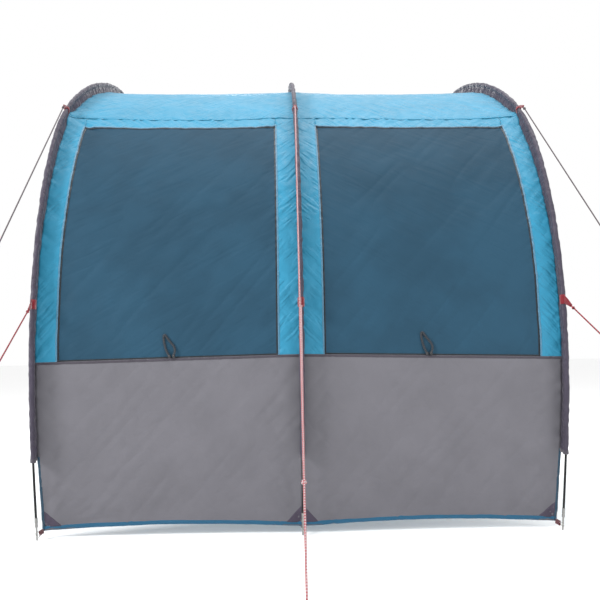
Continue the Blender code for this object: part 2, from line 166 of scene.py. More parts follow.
# Guylines.
TAB_HEIGHTS = {"upper": 1.655, "middle": 0.830}
TAB_BASE_WIDTHS = {"upper": 0.016, "middle": 0.034}
TAB_TIP_WIDTH = 0.011
TAB_LEANS = {"upper": 0.6, "middle": 0.0}
TAB_LENGTH = 0.038
TAB_THICKNESS = 0.002
TAB_LAYER = 0.0011
CORD_RADIUS = 0.0025
CORD_STEP = 0.0016
CORD_SIDES = 14
BRAID_PITCH = 0.006
BRAID_STRANDS = 4
BRAID_RELIEF = 0.00018
RUNNER_LENGTH = 0.026
RUNNER_BORE = 0.0032
RUNNER_OUTER = 0.0080
RUNNER_FROM_END = 0.050
KNOT_SIZE = 0.0030
HITCH_SIZE = 0.0032
KNOT_CORD = 0.8 * CORD_RADIUS
TAB_KNOT_REACH = 0.011
LOOP_LENGTH = 0.055
LOOP_WIDTH = 0.020
GUYLINE_ENDS = (
    ("left", "upper", (-0.965, -1.739, 0.953)),
    ("left", "middle", (-0.954, -1.769, 0.587)),
    ("centre", "upper", (-0.047, -2.790, 0.135)),
    ("right", "upper", (1.080, -1.496, 1.020)),
    ("right", "middle", (1.044, -1.597, 0.645)),
)
JUNCTION_SHARE = 0.850
JUNCTION_STANDOFF = 0.030

# Window loops.
WINDOW_LOOP_LENGTH = 0.085
WINDOW_LOOP_WIDTH = 0.030
WINDOW_LOOP_LEAN = 0.024
WINDOW_LOOP_WIDE = 0.0038
WINDOW_LOOP_THIN = 0.0026
WINDOW_LOOP_LIFT = 0.0052
WINDOW_LOOP_X = 0.460
# The loop's outline as (across, up) shares, from one leg on the sill round to the other.
WINDOW_LOOP_SHAPE = (
    (-0.26, 0.0), (-0.28, 0.14), (-0.36, 0.30), (-0.38, 0.55), (-0.30, 0.80), (-0.16, 0.96), (0.02, 0.99),
    (0.14, 0.88), (0.34, 0.72), (0.62, 0.52), (0.66, 0.36), (0.48, 0.20), (0.26, 0.10), (0.24, 0.0),
)
WINDOW_LOOP_CRIMP = ((-0.0005, 0.0034), (0.0003, 0.0045), (0.0100, 0.0045), (0.0108, 0.0036))

# The view.
CAMERA_PLACE = (-0.1058, -4.2382, 0.6464)
CAMERA_YAW = 0.03591
CAMERA_PITCH = 0.06704
CAMERA_ROLL = -0.01195
CAMERA_LENS = 48.29
LIGHT_TARGET = (0.0, 0.0, 1.0)
# Lights, as (place, size, watts).
LIGHTS = {
    "top light": ((0.6, -0.8, 5.5), 4.0, 175),
    "left light": ((-5.8, -4.2, 3.6), 2.0, 520),
    "right light": ((4.5, -5.5, 2.4), 3.0, 130),
    "rear light": ((0.0, 5.5, 3.5), 3.0, 160),
}
FLOOR_REACH = 60.0
FLOOR_TONE = (0.93, 0.93, 0.93, 1.0)


# --- The chart -------------------------------------------------------------------------------------


def arch_curve():
    """The centreline of an arch from the front foot to the rear foot, as (y, z) points."""
    half = [Vector((-y, z)) for y, z in ARCH_HALF]
    knots = half + [Vector((-p.x, p.y)) for p in reversed(half[:-1])]
    slopes = [knots[1] - knots[0]]
    slopes += [(after - before) / 2 for before, after in zip(knots[:-2], knots[2:])]
    slopes.append(knots[-1] - knots[-2])
    points = [knots[0]]
    for i in range(len(knots) - 1):
        a, b = knots[i], knots[i + 1]
        points += interpolate_bezier(a, a + slopes[i] / 3, b - slopes[i + 1] / 3, b, BEZIER_STEPS)[1:]
    return np.array([(p.x, p.y) for p in points])


CURVE = arch_curve()
CURVE_LENGTHS = np.concatenate([[0.0], np.cumsum(np.hypot(*np.diff(CURVE, axis=0).T))])
ARCH_LENGTH = float(CURVE_LENGTHS[-1])


def curve_at(s):
    return [np.interp(s, CURVE_LENGTHS, CURVE[:, axis]) for axis in (0, 1)]


def inward_at(s):
    """The unit vectors that point into the tunnel at arc lengths s, as (y, z) arrays."""
    ahead, behind = curve_at(np.asarray(s) + TANGENT_REACH), curve_at(np.asarray(s) - TANGENT_REACH)
    dy, dz = ahead[0] - behind[0], ahead[1] - behind[1]
    size = np.hypot(dy, dz)
    return dz / size, -dy / size


def narrowing(s):
    """How far x shrinks towards the centre arch at s, because the end arches lean in near the top."""
    rise = np.clip((curve_at(s)[1] - LEAN_HEIGHT) / (ARCH_HALF[-1][1] - LEAN_HEIGHT), 0, None)
    return 1 - TOP_LEAN / ARCH_SPACING * rise**2


def chart(x, s, depth):
    """Points at x along the tunnel and s along an arch, moved inwards by depth."""
    x, s, depth = np.broadcast_arrays(np.asarray(x, float), np.asarray(s, float), np.asarray(depth, float))
    y, z = curve_at(s)
    in_y, in_z = inward_at(s)
    return np.stack([x * narrowing(s), y + in_y * depth, z + in_z * depth], axis=-1)


def outward(s):
    in_y, in_z = inward_at(s)
    return np.stack([np.zeros_like(in_y), -in_y, -in_z], axis=-1)


def uphill(s):
    """The unit vectors along an arch, from the front foot towards the rear one."""
    in_y, in_z = inward_at(s)
    return np.stack([np.zeros_like(in_y), -in_z, in_y], axis=-1)


def arch_length_at(height):
    """The arc length where the centreline first crosses a height, on the front."""
    top = int(np.argmax(CURVE[:, 1]))
    return np.interp(height, CURVE[: top + 1, 1], CURVE_LENGTHS[: top + 1])


S_SILL = float(arch_length_at(SILL_HEIGHT))
S_HEAD = float(arch_length_at(WINDOW_HEAD_HEIGHT))
S_EAVE = float(arch_length_at(EAVE_HEIGHT))
S_SLEEVE = float(arch_length_at(SLEEVE_FOOT))


def arch_share(x):
    share = np.abs(x) / ARCH_SPACING
    return 4 * share * (1 - share)


def hem_s(x):
    return arch_length_at(HEM_HEIGHT + HEM_RISE * arch_share(x))


def steps(start, end, step):
    return np.linspace(start, end, max(2, int(round(abs(end - start) / step)) + 1))


# --- Wrinkles --------------------------------------------------------------------------------------

NOISE_SIZE = 64
FOLD_GAIN = 1.8
# Waves, as (depth, size along x, size along s, seed, start along x, whether the seams hold them flat).
WAVES = (
    (0.0030, 0.27, 0.40, 1, 5, True),
    (0.0012, 0.09, 0.16, 2, 0, True),
    (0.0006, 0.034, 0.045, 3, 0, False),
)
# Long creases, as (angle, stretch, pitch, depth, seed).
WALL_CREASES = (0.9, 7, 0.045, 0.0016, 4)
CROSS_CREASES = (-0.7, 8, 0.060, 0.0013, 5)
# Puckers beside the seams, as (depth, reach, pitch, slant, seed).
EAVE_PUCKERS = (0.0036, 0.05, 0.014, 1.0, 6)
SILL_PUCKERS = (0.0016, 0.022, 0.013, 0.6, 7)
END_PUCKERS = (0.0026, 0.034, 0.016, 0.7, 8)
MIDDLE_PUCKERS = (0.0016, 0.022, 0.013, 0.4, 9)
WINDOW_PUCKERS = (0.0020, 0.022, 0.012, 0.8, 10)
SEWN_REACH = 0.07
WINDOW_FADE = 0.05
LOOP_DIMPLE = 0.0042
LOOP_DIMPLE_REACH = 0.035


def noise(u, v, seed):
    """Smooth random values from -1 to 1 over a plane."""
    grid = np.random.default_rng(seed).uniform(-1, 1, (NOISE_SIZE, NOISE_SIZE))
    iu, iv = np.floor(u).astype(int), np.floor(v).astype(int)
    fu, fv = u - iu, v - iv
    fu, fv = fu * fu * (3 - 2 * fu), fv * fv * (3 - 2 * fv)
    corner = lambda a, b: grid[(iu + a) % NOISE_SIZE, (iv + b) % NOISE_SIZE]
    low = corner(0, 0) * (1 - fu) + corner(1, 0) * fu
    high = corner(0, 1) * (1 - fu) + corner(1, 1) * fu
    return low * (1 - fv) + high * fv


def gathers(along, distance, depth, reach, pitch, slant, seed):
    """Puckers beside a seam, which die away within reach of it."""
    fade = np.exp(-np.abs(distance) / reach)
    return depth * fade * noise((along + slant * distance) / pitch, distance / (5 * pitch), seed)


def star_folds(x, s, centre, towards, depth, reach, count, seed):
    """Tension folds that spread from a point, about a direction in the chart."""
    rng = np.random.default_rng(seed)
    dx, ds = x - centre[0], s - centre[1]
    total = np.zeros_like(dx)
    for angle in towards + np.linspace(-0.62, 0.62, count) + rng.uniform(-0.07, 0.07, count):
        length = reach * rng.uniform(0.6, 1.2)
        out = dx * math.cos(angle) + ds * math.sin(angle)
        across = -dx * math.sin(angle) + ds * math.cos(angle)
        width = 0.006 + 0.05 * np.maximum(out, 0)
        shape = np.exp(-((across / width) ** 2)) * np.exp(-((out / length) ** 2))
        total += shape * np.clip(out / 0.03, 0, 1) * rng.uniform(0.5, 1.0)
    return FOLD_GAIN * depth * total


def slanting_creases(x, s, angle, stretch, pitch, depth, seed):
    """Long soft creases in one direction."""
    out = x * math.cos(angle) + s * math.sin(angle)
    across = -x * math.sin(angle) + s * math.cos(angle)
    value = noise(across / pitch, out / (pitch * stretch), seed)
    return depth * (np.exp(-((value * 3.2) ** 2)) - 0.3)


def fold_points():
    """Where tension folds start: (x, s, direction, depth, reach, folds)."""
    points = []
    for _, sign in BAYS:
        inwards = 0.0 if sign < 0 else math.pi
        back = math.pi - inwards
        for place, rise in ((lambda s: s, -sign), (lambda s: ARCH_LENGTH - s, sign)):
            corner = place(hem_s(EDGE_X))
            points.append((sign * EDGE_X, corner, inwards + rise * 0.75, 0.0026, 0.24, 6))
            points.append((0.0, corner, back - rise * 0.75, 0.0022, 0.20, 5))
            for level, size in (("upper", 1.25), ("middle", 1.0)):
                s = place(float(arch_length_at(TAB_HEIGHTS[level])))
                points.append((sign * EDGE_X, s, inwards, 0.0022 * size, 0.15 * size, 7))
                points.append((0.0, s, back, 0.0016 * size, 0.10 * size, 6))
            points.append((sign * EDGE_X, place(S_EAVE), inwards - rise * 0.7, 0.0018, 0.14, 5))
        for x, outwards in ((WINDOW_INNER_X, back), (WINDOW_OUTER_X, inwards)):
            for s, up in ((S_SILL, 1), (S_HEAD, -1)):
                lean = up * (1 if math.cos(outwards) > 0 else -1)
                points.append((sign * x, s, outwards + lean * 0.8, 0.0017, 0.20, 6))
    return points


FOLD_POINTS = fold_points()


def near(values, lines):
    return np.minimum.reduce([np.abs(values - line) for line in lines])


def between(values, low, high):
    """1 between two lines, fading to 0 at each of them."""
    return np.clip((values - low) / WINDOW_FADE, 0, 1) * np.clip((high - values) / WINDOW_FADE, 0, 1)


def wrinkles(x, s):
    """How far the cloth dips inwards from its smooth shape."""
    sewn = 1 - np.exp(-((near(x, (0.0, EDGE_X, -EDGE_X)) / SEWN_REACH) ** 2))
    out = np.abs(x)
    s_front = np.minimum(s, ARCH_LENGTH - s)
    roof = np.clip((s_front - S_EAVE) / 0.10, 0, 1)
    in_window = between(out, WINDOW_INNER_X, WINDOW_OUTER_X) * between(s_front, S_SILL, S_HEAD)
    total = np.zeros_like(x)
    for depth, wide, long, seed, start, held in WAVES:
        total += (sewn if held else 1) * depth * noise(x / wide + start, s / long, seed)
    total += slanting_creases(x, s, *WALL_CREASES) * (1 - 0.5 * roof)
    total += slanting_creases(x, s, *CROSS_CREASES) * (1 - in_window)
    head = (s_front < S_EAVE) & (s_front > S_HEAD - 0.03)
    lean = np.where(x < 0, 0.9, -0.9)
    total += np.where(head, 1.0, 0.35) * gathers(x, (s_front - S_EAVE) * lean, *EAVE_PUCKERS)
    total += gathers(x, s_front - S_SILL, *SILL_PUCKERS)
    total += gathers(s, near(x, (EDGE_X, -EDGE_X)), *END_PUCKERS)
    total += gathers(s, out, *MIDDLE_PUCKERS)
    for line in (WINDOW_INNER_X, WINDOW_OUTER_X):
        total += (1 - roof) * gathers(s, np.abs(out - line), *WINDOW_PUCKERS)
    by_loop = ((out - WINDOW_LOOP_X) / LOOP_DIMPLE_REACH) ** 2 + ((s_front - S_SILL) / LOOP_DIMPLE_REACH) ** 2
    total += LOOP_DIMPLE * np.exp(-by_loop)
    for index, (fold_x, fold_s, *fold) in enumerate(FOLD_POINTS):
        total += star_folds(x, s, (fold_x, fold_s), *fold, 100 + index) * (1 - 0.6 * in_window)
    return total


def cinch(s, reach=PINCH_REACH):
    """How tightly an upper guyline's band grips a sleeve: 1 under the band, and 0 away from it."""
    tab = float(arch_length_at(TAB_HEIGHTS["upper"]))
    return np.exp(-(((s - tab) / reach) ** 2)) + np.exp(-(((ARCH_LENGTH - s - tab) / reach) ** 2))


def edge_inset(s):
    """How far the canopy's edge lies inside an end pole."""
    heights, insets = zip(*EDGE_INSETS)
    return np.interp(curve_at(s)[1], heights, insets) * (1 - 0.8 * cinch(s))


def sill_shift(x, s):
    """The sill seam runs a little downhill from the middle arch to the end arches."""
    s_front = np.minimum(s, ARCH_LENGTH - s)
    drop = SILL_TILT * (0.5 - np.abs(x) / EDGE_X) * np.exp(-(((s_front - S_SILL) / SILL_TILT_REACH) ** 2))
    return np.where(s < ARCH_LENGTH / 2, drop, -drop)


def cloth(x, s, lift=0.0):
    """Points on the wrinkled cloth, raised outwards by lift."""
    x, s = np.broadcast_arrays(np.asarray(x, float), np.asarray(s, float))
    depth = SHEET_DEPTH + BAY_SAG * arch_share(x) + wrinkles(x, s) - lift
    depth = depth - PINCH_DEPTH * cinch(s) * np.exp(-(EDGE_X - np.abs(x)) / PINCH_SPREAD)
    stretch = (np.abs(x) / EDGE_X) ** 4 * (END_TAIL_INSET - edge_inset(s))
    return chart(x + np.sign(x) * stretch, s + sill_shift(x, s), depth)


# --- Meshes ----------------------------------------------------------------------------------------


def settle(obj, slot, *nodes, body="tent"):
    """Rides a piece on its body and hides the nodes that it stands for. The slot is not used."""
    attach(obj, body)
    if nodes:
        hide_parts(*nodes)
    return obj


def new_mesh(name, points, faces, uvs, material, turn_out=True):
    """A smooth mesh with a UV in metres for each corner of each face."""
    mesh = bpy.data.meshes.new(name)
    mesh.from_pydata(np.asarray(points).reshape(-1, 3).tolist(), [], faces)
    mesh.uv_layers.new(name="cloth").data.foreach_set("uv", np.asarray(uvs, np.float32).ravel())
    if turn_out:
        bm = bmesh.new()
        bm.from_mesh(mesh)
        bmesh.ops.recalc_face_normals(bm, faces=bm.faces[:])
        bm.to_mesh(mesh)
        bm.free()
    mesh.materials.append(bpy.data.materials[material])
    mesh.shade_smooth()
    mesh.set_sharp_from_angle(angle=math.radians(48))
    obj = bpy.data.objects.new(name, mesh)
    bpy.context.scene.collection.objects.link(obj)
    return obj


def thicken(obj, thickness):
    solid = obj.modifiers.new("thickness", "SOLIDIFY")
    solid.thickness = thickness
    solid.offset = -1.0


def grid_piece(name, x, s, material, lift=0.0):
    """A cloth panel over a grid of x and s."""
    rows, columns = x.shape
    i, j = np.meshgrid(np.arange(rows - 1), np.arange(columns - 1), indexing="ij")
    corners = [(i + a) * columns + (j + b) for a, b in ((0, 0), (1, 0), (1, 1), (0, 1))]
    faces = np.stack(corners, axis=-1).reshape(-1, 4)
    flat = np.stack([x, s], axis=-1).reshape(-1, 2)
    obj = new_mesh(name, cloth(x, s, lift), faces.tolist(), flat[faces], material, False)
    thicken(obj, SHEET_THICKNESS)
    return obj


def loft(name, rings, material, closed=False, caps=True):
    """A skin through rings of points, (stations, points round, 3), capped or closed on itself."""
    rings = np.asarray(rings, float)
    count, around = rings.shape[:2]
    middles = rings.mean(axis=1)
    spans = np.linalg.norm(np.diff(middles, axis=0), axis=1)
    along = np.concatenate([[0.0], np.cumsum(spans), [spans.sum() + (spans[-1] if len(spans) else 0)]])
    turn = np.linalg.norm(np.diff(rings[0], axis=0, append=rings[0][:1]), axis=1)
    turn = np.concatenate([[0.0], np.cumsum(turn)])
    i, j = np.meshgrid(np.arange(count if closed else count - 1), np.arange(around), indexing="ij")
    faces, uvs = [], []
    for a, b in ((0, 0), (0, 1), (1, 1), (1, 0)):
        faces.append((i + a) % count * around + (j + b) % around)
        uvs.append(np.stack([along[i + a], turn[j + b]], axis=-1))
    faces = np.stack(faces, axis=-1).reshape(-1, 4).tolist()
    uvs = np.stack(uvs, axis=2).reshape(-1, 2)
    if caps and not closed:
        ends = [list(range(around))[::-1], list(range((count - 1) * around, count * around))]
        faces += ends
        uvs = np.concatenate([uvs, np.zeros((2 * around, 2))])
    return new_mesh(name, rings, faces, uvs, material)


def sweep(path, side, normal, section):
    """Rings along a path: a section of (across, up) offsets on each point's side and normal."""
    section = np.broadcast_to(np.asarray(section, float), (len(path), *np.shape(section)[-2:]))
    side, normal = np.broadcast_to(side, path.shape), np.broadcast_to(normal, path.shape)
    across, up = section[..., 0:1], section[..., 1:2]
    return path[:, None] + across * side[:, None] + up * normal[:, None]


def circle(radius, sides):
    turns = 2 * np.pi * (np.arange(sides) + 0.5) / sides
    return np.stack([radius * np.sin(turns), radius * np.cos(turns)], axis=-1)


def unit(vectors):
    vectors = np.asarray(vectors, float)
    return vectors / np.linalg.norm(vectors, axis=-1, keepdims=True)


def frames(path, closed=False):
    """Sides and normals that turn as little as they can along a path."""
    if closed:
        tangents = unit(np.roll(path, -1, axis=0) - np.roll(path, 1, axis=0))
    else:
        tangents = unit(np.gradient(path, axis=0))
    guide = np.eye(3)[int(np.argmin(np.abs(tangents[0])))]
    sides = []
    for tangent in tangents:
        guide = unit(guide - tangent * guide.dot(tangent))
        sides.append(guide)
    sides = np.array(sides)
    return sides, np.cross(tangents, sides)


def tube(name, path, radius, sides, material, closed=False):
    path = np.asarray(path, float)
    side, normal = frames(path, closed)
    return loft(name, sweep(path, side, normal, circle(radius, sides)), material, closed)


def lengths_along(path):
    return np.concatenate([[0.0], np.cumsum(np.linalg.norm(np.diff(path, axis=0), axis=1))])


def values_at(at, lengths, values):
    """A path's vectors at some of its lengths."""
    return np.stack([np.interp(at, lengths, values[:, k]) for k in range(3)], axis=-1)


def resample(path, step):
    lengths = lengths_along(path)
    return values_at(steps(0, lengths[-1], step), lengths, path)


def full_turn(count):
    return 2 * np.pi * np.arange(count) / count


def arc(turns, first, second):
    """Offsets round an arc, from the first direction towards the second."""
    return np.cos(turns)[:, None] * first + np.sin(turns)[:, None] * second


def turned_rings(place, along, profile, sides, squash=1.0):
    """Rings of a turned shape on an axis, from its outline of (distance, radius)."""
    rings = []
    for out, radius in profile:
        ring = circle(radius, sides)
        up = ring[:, 1:] * np.cross(along, X_AXIS) * squash
        rings.append(place + along * out + ring[:, :1] * X_AXIS + up)
    return np.array(rings)


def smooth_path(points, step):
    """A smooth open path through points, at even steps."""
    slopes = np.gradient(points, axis=0)
    curve = [points[:1]]
    for a, b, m, n in zip(points[:-1], points[1:], slopes[:-1], slopes[1:]):
        knots = [Vector(p) for p in (a, a + m / 3, b - n / 3, b)]
        curve.append(np.array(interpolate_bezier(*knots, 12)[1:]))
    return resample(np.concatenate(curve), step)


# --- Trim: tapes and stitches on the cloth ---------------------------------------------------------

TAPE_SECTION = np.array(
    (
        (-0.50, -0.9), (-0.50, 0.35), (-0.44, 0.85), (-0.30, 1.0),
        (0.30, 1.0), (0.44, 0.85), (0.50, 0.35), (0.50, -0.9),
    )
)
STITCH_FACES = np.array(
    ((0, 2, 4), (0, 4, 3), (0, 3, 5), (0, 5, 2), (1, 4, 2), (1, 3, 4), (1, 5, 3), (1, 2, 5))
)
HALF_TURN = np.linspace(-np.pi / 2, np.pi / 2, 9)
THREADS = {}


def tape(name, path, across, up, width, thickness, material):
    return loft(name, sweep(path, across, up, TAPE_SECTION * (width, thickness)), material)


def stitch(group, path, up, offset=0.0, across=None):
    """Adds a row of stitches beside a path to a group that make_threads builds."""
    path = np.asarray(path, float)
    up = np.broadcast_to(up, path.shape)
    if across is not None:
        path = path + np.broadcast_to(across, path.shape) * offset
    lengths = lengths_along(path)
    at = np.arange(STITCH_PITCH / 2, lengths[-1], STITCH_PITCH)
    ahead, behind = (values_at(at + shift, lengths, path) for shift in (STITCH_PITCH / 2, -STITCH_PITCH / 2))
    ups = unit(values_at(at, lengths, up))
    THREADS.setdefault(group, []).append((values_at(at, lengths, path), unit(ahead - behind), ups))


def make_threads(group, material, slot):
    """All the stitches of a group as one piece: each is a short lens of thread."""
    centres, along, ups = (np.concatenate(parts) for parts in zip(*THREADS[group]))
    side = np.cross(along, ups)
    reach, thick = STITCH_LENGTH / 2, STITCH_RADIUS
    corners = [
        centres - along * reach - ups * thick,
        centres + along * reach - ups * thick,
        centres + side * thick,
        centres - side * thick,
        centres + ups * thick,
        centres - ups * 2 * thick,
    ]
    points = np.stack(corners, axis=1).reshape(-1, 3)
    faces = (np.arange(len(centres))[:, None, None] * len(corners) + STITCH_FACES[None]).reshape(-1, 3)
    settle(new_mesh(group, points, faces.tolist(), np.zeros((faces.size, 2)), material), slot)


# --- Materials -------------------------------------------------------------------------------------

WEAVE_PITCH = 0.0011
NETTING_PITCH = 0.0021
RIB_PITCH = 0.0013
WEBBING = {
    "blue binding": 0x1A5D7F,
    "pale binding": 0x4C82A0,
    # Painted shadow: the dark tape that stands for the shadow line round each window's netting.
    "painted shadow tape": 0x0A131C,
    "teal binding": 0x163C52,
    "grey binding": 0x46424C,
    "red webbing": 0x7E0A1E,
    "dark webbing": 0x560C1E,
}
# Braids, as (base colour, tracer colour, pitch).
BRAIDS = {
    "upper": (0x33262A, 0x5C5458, 0.006),
    "middle": (0x9A0F24, 0x120D10, 0.011),
    "centre": (0x8C1422, 0xB0A4A6, 0.007),
}
THREAD_COLOURS = {
    "blue thread": 0x206078,
    "grey thread": 0x3E3A44,
    "pale thread": 0x84A8B8,
    "red thread": 0x64081A,
}


def colour(code):
    """A linear colour from a display colour such as 0x3f9cc5."""
    values = [(code >> shift & 255) / 255 for shift in (16, 8, 0)]
    return tuple(v / 12.92 if v <= 0.04045 else ((v + 0.055) / 1.055) ** 2.4 for v in values)


def node(tree, kind, inputs=(), **settings):
    """Adds a node: an input is linked where its value is a socket, and set where it isn't."""
    made = tree.nodes.new("ShaderNode" + kind)
    for key, value in settings.items():
        setattr(made, key, value)
    for key, value in dict(inputs).items():
        if isinstance(value, bpy.types.NodeSocket):
            tree.links.new(value, made.inputs[key])
        else:
            made.inputs[key].default_value = value
    return made


def calc(tree, operation, *values):
    return node(tree, "Math", dict(enumerate(values)), operation=operation).outputs[0]


def mixed(tree, share, first, second):
    """A colour between two: each is a colour or a socket."""
    inputs = {}
    for index, value in ((6, first), (7, second)):
        inputs[index] = value if isinstance(value, bpy.types.NodeSocket) else (*value, 1.0)
    made = node(tree, "Mix", {0: share, **inputs}, data_type="RGBA")
    return made.outputs[2]


def spans(tree, value, low, high, to_low=0.0, to_high=1.0):
    """A smooth step from one value to another."""
    ends = {1: low, 2: high, 3: to_low, 4: to_high}
    return node(tree, "MapRange", {0: value, **ends}, interpolation_type="SMOOTHSTEP").outputs[0]


def toned(base, gain, lift=0.0):
    return tuple(min(1.0, c * gain + lift) for c in base)


def paint(tree, shader, shade):
    tree.links.new(shade, shader.inputs["Base Color"])


def wave(tree, value, pitch):
    return calc(tree, "SINE", calc(tree, "MULTIPLY", value, 2 * math.pi / pitch))


SHADER_SOCKETS = {
    "metallic": "Metallic",
    "sheen": "Sheen Weight",
    "sheen_roughness": "Sheen Roughness",
    "specular": "Specular IOR Level",
    "coat": "Coat Weight",
}


def begin(name, roughness, **sockets):
    """A new material with its shader's own values set. Returns its tree, its shader and its UV."""
    material = bpy.data.materials.new(name)
    material.use_nodes = True
    tree = material.node_tree
    shader = tree.nodes["Principled BSDF"]
    shader.inputs["Roughness"].default_value = roughness
    for key, value in sockets.items():
        shader.inputs[SHADER_SOCKETS[key]].default_value = value
    uv = node(tree, "TexCoord").outputs["UV"]
    return tree, shader, uv


def texture(tree, where, scale, detail=3.0, stretch=(1.0, 1.0, 1.0), roughness=0.55):
    moved = node(tree, "Mapping", {"Vector": where, "Scale": stretch}).outputs[0]
    inputs = {"Vector": moved, "Scale": scale, "Detail": detail, "Roughness": roughness}
    return node(tree, "TexNoise", inputs).outputs[0]


def bumped(tree, shader, heights):
    """Chains bumps: each is (height socket, strength, distance in metres)."""
    normal = None
    for height, strength, distance in heights:
        inputs = {"Height": height, "Strength": strength, "Distance": distance}
        if normal is not None:
            inputs["Normal"] = normal
        normal = node(tree, "Bump", inputs).outputs[0]
    tree.links.new(normal, shader.inputs["Normal"])


def weave_height(tree, uv, pitch):
    """The rise and fall of crossing threads."""
    parts = node(tree, "SeparateXYZ", {0: uv})
    return calc(tree, "MULTIPLY", *[wave(tree, parts.outputs[k], pitch) for k in (0, 1)])


def leaning_creases(tree, uv, angle, pitch, length):
    """Long sharp creases, which lean the same way on both sides of the tent's middle."""
    parts = node(tree, "SeparateXYZ", {0: uv})
    out = calc(tree, "ABSOLUTE", parts.outputs[0])
    turned = ((math.cos(angle), math.sin(angle), length), (-math.sin(angle), math.cos(angle), pitch))
    rows = []
    for across, up, size in turned:
        first = calc(tree, "MULTIPLY", out, across / size)
        second = calc(tree, "MULTIPLY", parts.outputs[1], up / size)
        rows.append(calc(tree, "ADD", first, second))
    where = node(tree, "CombineXYZ", {0: rows[0], 1: rows[1]}).outputs[0]
    inputs = {"Vector": where, "Scale": 1.0, "Detail": 2.0, "Roughness": 0.45}
    value = node(tree, "TexNoise", inputs).outputs[0]
    ridge = calc(tree, "ABSOLUTE", calc(tree, "SUBTRACT", value, 0.5))
    smooth = spans(tree, texture(tree, uv, 7.0, 2.0), 0.48, 0.66)
    return calc(tree, "MAXIMUM", spans(tree, ridge, 0.0, 0.16), smooth)


def cloth_material(name, base, roughness=0.52, sheen=0.12, tone=0.10, crease=0.5, folds=()):
    """Thin coated plain weave, with soft crumples, leaning creases and slightly uneven colour."""
    tree, shader, uv = begin(name, roughness, sheen=sheen, sheen_roughness=0.45, specular=0.3)
    weave = weave_height(tree, uv, WEAVE_PITCH)
    patches = texture(tree, uv, 5.0, 4.0)
    slubs = texture(tree, uv, 260.0, 2.0, (0.06, 1.0, 1.0))
    crumple = texture(tree, uv, 26.0, 5.0, (1.0, 0.55, 1.0), 0.6)
    dark = toned(base, 1 - tone)
    shade = mixed(tree, spans(tree, patches, 0.32, 0.68), dark, toned(base, 1 + tone))
    shade = mixed(tree, spans(tree, slubs, 0.5, 0.8, 0.0, 0.16), shade, dark)
    # Painted shade: the colour darkens with the weave's rise and fall.
    shade = mixed(tree, spans(tree, weave, -1.0, 1.0, 0.0, 0.14), shade, toned(base, 0.55))
    paint(tree, shader, shade)
    gloss = spans(tree, crumple, 0.3, 0.7, roughness - 0.08, roughness + 0.10)
    tree.links.new(gloss, shader.inputs["Roughness"])
    heights = [(leaning_creases(tree, uv, *fold[:3]), fold[3], 0.003) for fold in folds]
    bumped(tree, shader, (*heights, (crumple, crease, 0.0022), (weave, 0.25, 0.00016)))


def mesh_material(name, thread, hole):
    """Fine netting: pale threads over dark holes, which fade to one tone from far away. The holes are painted
    shade for the dim inside, and the threads carry painted light towards the sill.
    """
    tree, shader, uv = begin(name, 0.66, sheen=0.0, specular=0.12)
    parts = node(tree, "SeparateXYZ", {0: uv})
    gaps = [spans(tree, wave(tree, parts.outputs[k], NETTING_PITCH), -0.25, 0.45) for k in (0, 1)]
    opening = calc(tree, "MULTIPLY", *gaps)
    patches = texture(tree, uv, 3.2, 3.0)
    # Painted light: the threads are lighter towards the sill, fading to their own colour at the window's head.
    lower = spans(tree, parts.outputs[1], S_SILL, S_HEAD)
    thread_colour = mixed(tree, lower, toned(thread, 1.22), thread)
    thread_colour = mixed(tree, spans(tree, patches, 0.35, 0.65, 0.0, 0.22), thread_colour, hole)
    # The holes take the hole colour: painted shade for the dim inside seen through the netting.
    paint(tree, shader, mixed(tree, calc(tree, "MULTIPLY", opening, 0.45), thread_colour, hole))
    creases = texture(tree, uv, 22.0, 4.0, (1.0, 0.35, 1.0))
    leaning = leaning_creases(tree, uv, 2.6, 0.045, 0.30)
    bumped(tree, shader, ((leaning, 0.28, 0.003), (creases, 0.35, 0.002), (opening, 0.3, 0.0002)))


def webbing_material(name, base):
    """Narrow woven tape: ribs across it, with a chevron of threads."""
    tree, shader, uv = begin(name, 0.68, sheen=0.4, sheen_roughness=0.4, specular=0.3)
    parts = node(tree, "SeparateXYZ", {0: uv})
    ribs = wave(tree, parts.outputs[0], RIB_PITCH)
    cross = weave_height(tree, uv, 2 * RIB_PITCH)
    height = calc(tree, "ADD", ribs, calc(tree, "MULTIPLY", cross, 0.6))
    fuzz = texture(tree, uv, 900.0, 2.0)
    # Painted shade: the tape darkens in the low parts of its ribs and crossing threads.
    shade = mixed(tree, spans(tree, height, -1.2, 1.4), toned(base, 0.45), base)
    shade = mixed(tree, spans(tree, fuzz, 0.4, 0.8, 0.0, 0.25), shade, toned(base, 1.5, 0.02))
    paint(tree, shader, shade)
    bumped(tree, shader, ((height, 0.7, 0.0003), (fuzz, 0.2, 0.0002)))


def braid_material(name, base, tracer, radius, pitch):
    """A braided sheath: diamonds of two colours, with painted shade in the gaps between the strands."""
    tree, shader, uv = begin(name, 0.66, sheen=0.3, sheen_roughness=0.4, specular=0.35)
    parts = node(tree, "SeparateXYZ", {0: uv})
    around = calc(tree, "MULTIPLY", parts.outputs[1], BRAID_STRANDS / (2 * math.pi * radius))
    along = calc(tree, "DIVIDE", parts.outputs[0], pitch)
    waves = []
    for operation in ("ADD", "SUBTRACT"):
        turn = calc(tree, "MULTIPLY", calc(tree, operation, along, around), math.pi)
        waves.append(calc(tree, "SINE", turn))
    diamond = calc(tree, "MULTIPLY", *waves)
    depth = calc(tree, "ABSOLUTE", diamond)
    shade = mixed(tree, spans(tree, diamond, -0.05, 0.30), base, tracer)
    # Painted shade: the colour darkens where the strands dip, between them.
    shade = mixed(tree, spans(tree, depth, 0.0, 0.16, 0.75, 0.0), shade, toned(base, 0.15))
    paint(tree, shader, shade)
    bumped(tree, shader, ((depth, 0.6, 0.0005),))


